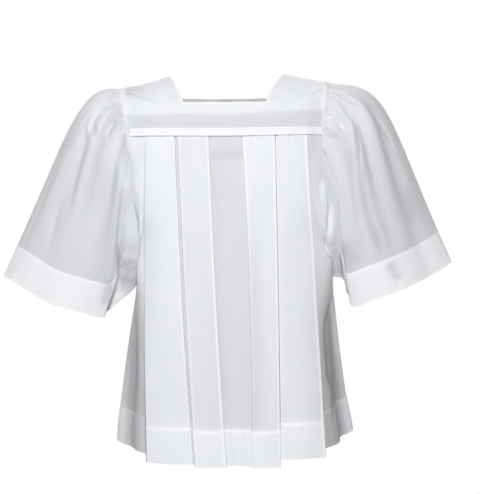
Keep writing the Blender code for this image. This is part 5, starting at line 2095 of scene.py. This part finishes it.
LEFT_SLEEVE = BellSleeve(
    side=Side.LEFT,
    cuff=table(
        "angle x y z",
        (0, -0.4310, 0.000, -0.3900),
        (28, -0.3940, -0.045, -0.4063),
        (52, -0.3290, -0.085, -0.4400),
        (68, -0.2723, -0.090, -0.4560),
        (82, -0.2310, -0.072, -0.4660),
        (92, -0.2230, -0.060, -0.4575),
        (112, -0.2085, -0.049, -0.4370),
        (130, -0.1910, -0.037, -0.4110),
        (152, -0.1790, -0.022, -0.3990),
        (180, -0.1745, 0.000, -0.3970),
        (208, -0.1790, 0.022, -0.3990),
        (230, -0.1930, 0.036, -0.4080),
        (250, -0.2080, 0.046, -0.4240),
        (268, -0.2220, 0.056, -0.4430),
        (278, -0.2310, 0.068, -0.4520),
        (292, -0.2700, 0.086, -0.4450),
        (308, -0.3250, 0.083, -0.4320),
        (332, -0.3900, 0.045, -0.4030),
    ),
    folds=table(
        "angle width out peak reach start",
        (38, 6, -0.006, 0.45, 0.36, 0.10),
        (49, 6, 0.005, 0.40, 0.36, 0.10),
        (60, 5, -0.008, 0.45, 0.36, 0.10),
        (71, 5, 0.006, 0.40, 0.36, 0.10),
        (104, 10, -0.006, 0.60, 0.36, 0.10),
        (128, 12, 0.004, 0.50, 0.36, 0.10),
        (130, 16, 0.0030, 0.66, 0.22, 0.20),
        (292, 6, 0.006, 0.40, 0.36, 0.10),
        (304, 6, -0.008, 0.45, 0.36, 0.10),
        (318, 6, 0.005, 0.40, 0.36, 0.10),
        (331, 7, -0.006, 0.50, 0.36, 0.10),
    ),
    creases={Face.FRONT: LEFT_CREASES, Face.BACK: echoed(LEFT_CREASES[:-8], 31)},
    puff=1.0,
    rise=0.0,
    gather_seed=11,
    white=0.58,
)
# The number before each crease's points is painted shade, below zero painted highlight; creases of no height
# are painted shade or highlight alone.
RIGHT_CREASES = crease_table(
    (SHARP, 0.002, -0.0036, 0.15, 0.25, 0.25, (0.2033, -0.0335), (0.2164, -0.0448), (0.2295, -0.056),
     (0.2464, -0.0644), (0.2595, -0.0654)),
    (SOFT, 0.0034, 0.0024, 0.3, 0.4, 0.0, (0.2089, -0.0316), (0.2276, -0.0401), (0.2464, -0.0541)),
    (SHARP, 0.002, -0.0042, 0.15, 0.05, 0.25, (0.2079, -0.0485), (0.2182, -0.0635), (0.2286, -0.0804),
     (0.2389, -0.0973), (0.2483, -0.1169)),
    (SOFT, 0.0085, -0.0042, 0.3, 0.2, 0.28, (0.2492, -0.17), (0.2539, -0.2229), (0.2633, -0.2679),
     (0.282, -0.3204), (0.3008, -0.3616)),
    (SOFT, 0.02, 0.0, 0.2, 0.2, 0.25, (0.215, -0.325), (0.23, -0.348), (0.245, -0.37)),
    (SOFT, 0.016, 0.0, 0.4, 0.3, 0.25, (0.336, -0.2), (0.352, -0.25), (0.364, -0.3)),
    (SHARP, 0.0036, -0.004, 0.02, 0.3, 0.2, (0.2483, -0.1169), (0.2492, -0.1423), (0.2492, -0.1797),
     (0.251, -0.205)),
    (SOFT, 0.0044, 0.0034, 0.3, 0.4, 0.0, (0.2333, -0.0804), (0.237, -0.1048), (0.237, -0.1516),
     (0.2389, -0.1985)),
    (SOFT, 0.002, 0.002, 0.2, 0.2, -0.5, (0.1883, -0.0916), (0.1939, -0.0879), (0.2004, -0.0935)),
    (SOFT, 0.0022, 0.0028, 0.2, 0.2, -0.5, (0.2108, -0.101), (0.2173, -0.1076), (0.222, -0.116)),
    (SOFT, 0.0026, -0.0012, 0.2, 0.2, 0.0, (0.1901, -0.0729), (0.1976, -0.0691), (0.2051, -0.0738)),
    (SOFT, 0.0024, -0.001, 0.2, 0.2, 0.0, (0.1901, -0.0822), (0.2014, -0.0813), (0.2108, -0.0897)),
    (SOFT, 0.002, 0.0026, 0.2, 0.2, 0.0, (0.1826, -0.146), (0.1864, -0.1497), (0.1883, -0.1591)),
    (SOFT, 0.004, -0.0016, 0.3, 0.3, 0.0, (0.1901, -0.1235), (0.2051, -0.131), (0.2201, -0.1273)),
    (SOFT, 0.004, 0.0022, 0.3, 0.3, 0.0, (0.1976, -0.1704), (0.2033, -0.1929), (0.2108, -0.2154)),
    (SOFT, 0.003, -0.0016, 0.2, 0.4, 0.0, (0.2633, -0.0691), (0.2895, -0.0916), (0.312, -0.1254),
     (0.3289, -0.1666)),
    (SOFT, 0.005, 0.003, 0.3, 0.4, 0.0, (0.207, -0.2548), (0.2126, -0.2923), (0.2201, -0.3391)),
    (SOFT, 0.008, 0.003, 0.3, 0.4, 0.0, (0.2708, -0.2735), (0.2895, -0.3054), (0.3101, -0.3429)),
    (SOFT, 0.011, -0.003, 0.2, 0.3, 0.45, (0.3045, -0.3616), (0.3176, -0.3804), (0.3326, -0.4029)),
    (SHARP, 0.0024, -0.006, 0.3, 0.02, 0.6, (0.2108, -0.3391), (0.2154, -0.3616), (0.2201, -0.3898)),
    (SOFT, 0.008, 0.0, 0.15, 0.25, -0.35, (0.1915, -0.25), (0.196, -0.29), (0.201, -0.333)),
    (SOFT, 0.016, 0.0, 0.1, 0.1, 0.45, (0.195, -0.379), (0.21, -0.379), (0.224, -0.38)),
)
RIGHT_SLEEVE = BellSleeve(
    side=Side.RIGHT,
    cuff=table(
        "angle x y z",
        (0, 0.4385, 0.000, -0.3618),
        (28, 0.3900, -0.045, -0.3889),
        (52, 0.3270, -0.085, -0.4151),
        (68, 0.2798, -0.088, -0.4318),
        (82, 0.2400, -0.068, -0.4455),
        (92, 0.2338, -0.060, -0.4270),
        (104, 0.2285, -0.052, -0.4060),
        (116, 0.2240, -0.044, -0.3930),
        (130, 0.2170, -0.038, -0.3890),
        (152, 0.2115, -0.024, -0.3870),
        (180, 0.2085, 0.000, -0.3860),
        (208, 0.2120, 0.024, -0.3860),
        (230, 0.2230, 0.038, -0.3890),
        (250, 0.2320, 0.046, -0.3935),
        (268, 0.2400, 0.054, -0.4130),
        (278, 0.2450, 0.066, -0.4290),
        (292, 0.2780, 0.084, -0.4250),
        (308, 0.3270, 0.083, -0.4110),
        (332, 0.3880, 0.045, -0.3860),
    ),
    folds=table(
        "angle width out peak reach start",
        (24, 7, -0.005, 0.50, 0.36, 0.10),
        (36, 6, 0.005, 0.40, 0.36, 0.10),
        (47, 6, -0.010, 0.45, 0.36, 0.10),
        (60, 6, 0.006, 0.40, 0.36, 0.10),
        (72, 5, -0.005, 0.50, 0.36, 0.10),
        (114, 9, -0.004, 0.60, 0.36, 0.10),
        (128, 12, 0.006, 0.50, 0.36, 0.10),
        (130, 16, 0.0080, 0.62, 0.22, 0.20),
        (290, 6, 0.006, 0.40, 0.36, 0.10),
        (302, 6, -0.008, 0.45, 0.36, 0.10),
        (316, 6, 0.005, 0.40, 0.36, 0.10),
        (330, 7, -0.006, 0.50, 0.36, 0.10),
    ),
    creases={Face.FRONT: RIGHT_CREASES, Face.BACK: echoed(RIGHT_CREASES[:-3], 37)},
    puff=1.62,
    rise=-0.019,
    gather_seed=17,
    white=0.55,
    web_in_angle=135.0,
    web_in_width=17.0,
)


# ---------------------------------------------------------------- sewing
@dataclass
class StitchRow:
    """A row of machine stitches that lie in the face of the cloth."""

    name: str
    path: Grid
    outward: Grid
    slot: str
    lift: float = CLOTH_THICKNESS / 2 + 0.00005
    closed: bool = False
    pitch: float = 0.0027
    length: float = 0.0021
    width: float = 0.00050
    sides: int = 6

    def build(self) -> bpy.types.Object:
        """Makes every stitch of the row as a small rounded bead.

        Returns:
            The new object.
        """
        path, outward = self.path, self.outward
        if self.closed:
            path, outward = (np.concatenate([line, line[:1]]) for line in (path, outward))
        reached = distances_along(path)
        count = max(2, int(reached[-1] / self.pitch))
        middles = (np.arange(count) + 0.5) * reached[-1] / count
        ends = [self.read(path, reached, middles + half * self.length / 2) for half in (-1, 1)]
        centre = self.read(path, reached, middles)
        out = unit(self.read(outward, reached, middles))
        ahead = unit(ends[1] - ends[0])
        beside = unit(np.cross(out, ahead))
        out = np.cross(ahead, beside)
        centre = centre + self.lift * out
        rings = [(-0.5, 0.0), (-0.36, 0.75), (0.0, 1.0), (0.36, 0.75), (0.5, 0.0)]
        turns = np.linspace(0, 2 * math.pi, self.sides, endpoint=False)
        vertices = []
        for along, girth in rings:
            for turn in turns if girth else turns[:1]:
                across = girth * self.width / 2 * (math.cos(turn) * beside + 0.8 * math.sin(turn) * out)
                vertices.append(centre + along * self.length * ahead + across)
        faces = self.bead_faces()
        each = len(vertices)
        points = np.stack(vertices, axis=1).reshape(-1, 3)
        every = [tuple(corner + each * index for corner in face) for index in range(count) for face in faces]
        mesh = bpy.data.meshes.new(self.name)
        mesh.from_pydata(points.tolist(), [], every)
        mesh.shade_smooth()
        piece = placed(self.name, mesh, THREAD)
        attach(piece, "root")
        return piece

    def read(self, values: Grid, reached: Row, at: Row) -> Grid:
        """Values along the path at given distances."""
        return np.stack([np.interp(at, reached, values[:, axis]) for axis in range(3)], axis=-1)

    def bead_faces(self) -> list[tuple[int, ...]]:
        """Lists the faces of one bead: a point, three rings and a point.

        Returns:
            Corner numbers of each face, seen from outside.
        """
        n = self.sides
        first = [1 + ring * n for ring in range(3)]
        last = 1 + 3 * n
        faces: list[tuple[int, ...]] = []
        for k in range(n):
            after = (k + 1) % n
            faces.append((0, first[0] + after, first[0] + k))
            faces.append((last, first[2] + k, first[2] + after))
            for ring in (0, 1):
                low, high = first[ring], first[ring + 1]
                faces.append((low + k, low + after, high + after, high + k))
        return faces


@dataclass
class Sewing:
    """All the rows of stitches that show on the garment."""

    panels: dict[Face, ClothGrid]
    yokes: dict[Face, ClothGrid]
    bands: dict[Face, ClothGrid]
    sleeves: dict[Side, tuple[ClothGrid, int]]

    def build(self) -> None:
        """Makes the rows of hems, bands, necklines, shoulders and cuffs."""
        for face in Face:
            self.hem(face)
            self.band(face)
            self.yoke(face)
        for side in Side:
            self.sleeve(side)

    def row(
        self, name: str, grid: ClothGrid, at: float, slot: str, part: slice = slice(None), down: bool = False
    ) -> None:
        """Sews one row of stitches.

        Args:
            name: the name of the row.
            grid: the cloth.
            at: the grid row that it follows, which may lie between two.
            slot: the material slot of the cloth, which is not used.
            part: which columns it passes.
            down: whether it follows a grid column instead, past rows.
        """
        fields = (grid.points, grid.outward)
        points, outward = (values.swapaxes(0, 1) for values in fields) if down else fields
        low = min(int(at), len(points) - 2)
        path = mix(points[low, part], points[low + 1, part], at - low)
        outward = unit(mix(outward[low, part], outward[low + 1, part], at - low))
        StitchRow(name, path, outward, slot, closed=grid.closed).build()

    def hem(self, face: Face) -> None:
        """Sews the top of a body hem.

        Args:
            face: front or back.
        """
        name = face.name.lower()
        rows = FRONT_PANEL.row_values()
        at = float(np.interp(2.03, rows, np.arange(len(rows))))
        self.row(f"hem_stitches_{name}", self.panels[face], at, f"{name}_panel")

    def band(self, face: Face) -> None:
        """Sews the two edges of a band."""
        name = face.name.lower()
        for edge, at in (("upper", 2.5), ("lower", 11.5)):
            self.row(f"band_stitches_{name}_{edge}", self.bands[face], at, f"yoke_band_{name}")

    def yoke(self, face: Face) -> None:
        """Sews the neckline of a yoke, its mitres and its shoulder seams.

        Args:
            face: front or back.
        """
        name = face.name.lower()
        yoke = FRONT_YOKE if face is Face.FRONT else BACK_YOKE
        grid = self.yokes[face]
        across, down = yoke.places()
        slot = f"yoke_{name}"
        corner = int(np.searchsorted(down, yoke.neck_corner - 1e-6))
        left, right = (int(np.searchsorted(across, at - 1e-6)) for at in (1, 2))
        inset = 1.6  # rows and columns in from the edge
        neck, shoulder = f"neck_stitches_{name}", f"shoulder_stitches_{name}"
        self.row(f"{neck}_middle", grid, corner + inset * 1.2, slot, slice(left - 1, right + 2))
        seams = (
            ("left", left, -1, slice(1, left - 1)),
            ("right", right, 1, slice(right + 2, len(across) - 1)),
        )
        for side, at, step, _ in seams:
            self.row(f"{neck}_{side}", grid, at + step * inset, slot, slice(corner + 2), down=True)
        for side, _, _, part in seams:
            self.row(f"{shoulder}_{side}", grid, 1.0, slot, part)
        slant = np.arange(9)
        for side, at, step, _ in seams:
            places = (corner + slant, at + step * slant)
            points, outward = grid.points[places], grid.outward[places]
            StitchRow(f"mitre_stitches_{name}_{side}", points, outward, slot).build()

    def sleeve(self, side: Side) -> None:
        """Sews the top of a cuff's hem."""
        name = side.name.lower()
        grid, hem_row = self.sleeves[side]
        self.row(f"cuff_stitches_{name}", grid, hem_row + 1.6, f"sleeve_{name}")


# ---------------------------------------------------------------- studio
@dataclass
class Lamp:
    """A soft square lamp."""

    name: str
    place: tuple[float, float, float]
    size: float
    power: float


@dataclass
class Studio:
    """A plain pale floor, white surroundings, soft lamps and the camera."""

    floor_z: float = -1.50
    floor_radius: float = 2.6
    surroundings: float = 0.17  # brightness that lights the garment from all round
    aim: tuple[float, float, float] = (0.0, 0.0, -0.30)
    camera_place: tuple[float, float, float] = (0.027, -2.2, -0.3335)
    lens: float = 82.2
    lamps: tuple[Lamp, ...] = (
        Lamp("key_lamp", (0.1, -2.9, 1.5), 1.7, 102.0),
        Lamp("left_lamp", (-2.3, -0.9, 1.7), 1.2, 24.0),
        Lamp("right_lamp", (2.4, -0.8, 1.0), 1.4, 4.0),
        Lamp("back_lamp", (0.4, 2.8, 1.3), 2.0, 55.0),
    )

    def build(self) -> None:
        """Makes the whole studio."""
        self.floor()
        self.world()
        for lamp in self.lamps:
            self.lamp(lamp)
        self.camera()
        bpy.context.scene.view_settings.view_transform = "Standard"

    def floor(self) -> None:
        """Lays the floor."""
        rings, sides = 12, 96
        radii = np.linspace(0, self.floor_radius, rings + 1)[1:]
        turns = np.linspace(0, 2 * math.pi, sides, endpoint=False)
        points = [(0.0, 0.0, self.floor_z)]
        points += [(r * math.cos(t), r * math.sin(t), self.floor_z) for r in radii for t in turns]
        faces = [(0, 1 + k, 1 + (k + 1) % sides) for k in range(sides)]
        for ring in range(rings - 1):
            low, high = 1 + ring * sides, 1 + (ring + 1) * sides
            around = ((k, (k + 1) % sides) for k in range(sides))
            faces += [(low + k, high + k, high + after, low + after) for k, after in around]
        mesh = bpy.data.meshes.new("studio_floor")
        mesh.from_pydata(points, [], faces)
        placed("studio_floor", mesh, FLOOR)

    def world(self) -> None:
        """Surrounds the garment with white that lights it softly."""
        world = bpy.data.worlds.new("white_surroundings")
        world.use_nodes = True
        nodes, links = world.node_tree.nodes, world.node_tree.links
        nodes.clear()
        seen, lit = nodes.new("ShaderNodeBackground"), nodes.new("ShaderNodeBackground")
        seen.inputs["Color"].default_value = (1.0, 1.0, 1.0, 1.0)
        lit.inputs["Color"].default_value = (0.97, 0.985, 1.0, 1.0)
        lit.inputs["Strength"].default_value = self.surroundings
        kinds = ("LightPath", "MixShader", "OutputWorld")
        rays, both, out = (nodes.new(f"ShaderNode{kind}") for kind in kinds)
        links.new(rays.outputs["Is Camera Ray"], both.inputs[0])
        links.new(lit.outputs["Background"], both.inputs[1])
        links.new(seen.outputs["Background"], both.inputs[2])
        links.new(both.outputs["Shader"], out.inputs["Surface"])
        bpy.context.scene.world = world

    def lamp(self, lamp: Lamp) -> None:
        """Hangs one lamp and turns it to the garment.

        Args:
            lamp: the lamp.
        """
        light = bpy.data.lights.new(lamp.name, "AREA")
        light.shape = "SQUARE"
        light.size = lamp.size
        light.energy = lamp.power
        thing = bpy.data.objects.new(lamp.name, light)
        thing.location = lamp.place
        away = Vector(self.aim) - Vector(lamp.place)
        thing.rotation_euler = away.to_track_quat("-Z", "Y").to_euler()
        bpy.context.scene.collection.objects.link(thing)

    def camera(self) -> None:
        """Sets up the camera straight in front."""
        data = bpy.data.cameras.new("camera")
        data.sensor_width = 36.0
        data.lens = self.lens
        camera = bpy.data.objects.new("camera", data)
        camera.location = self.camera_place
        camera.rotation_euler = (math.pi / 2, 0.0, 0.0)
        bpy.context.scene.collection.objects.link(camera)
        bpy.context.scene.camera = camera


def main() -> None:
    """Builds the garment piece by piece, then the studio round it, and reports each piece."""
    logging.basicConfig(level=logging.INFO, format="%(message)s")
    solids = set(bpy.data.objects.keys())
    yokes = {yoke.face: yoke.build() for yoke in (FRONT_YOKE, BACK_YOKE)}
    bands = {face: YokeBand(face).build() for face in Face}
    panels = {panel.face: panel.build() for panel in (FRONT_PANEL, BACK_PANEL)}
    sleeves = {sleeve.side: sleeve.build(panels.values()) for sleeve in (LEFT_SLEEVE, RIGHT_SLEEVE)}
    Sewing(panels, yokes, bands, sleeves).build()
    Studio().build()
    for name, piece in bpy.data.objects.items():
        if piece.type == "MESH" and name not in solids:
            LOG.info("%s: %d faces", name, len(piece.data.polygons))


if __name__ == "__main__":
    main()
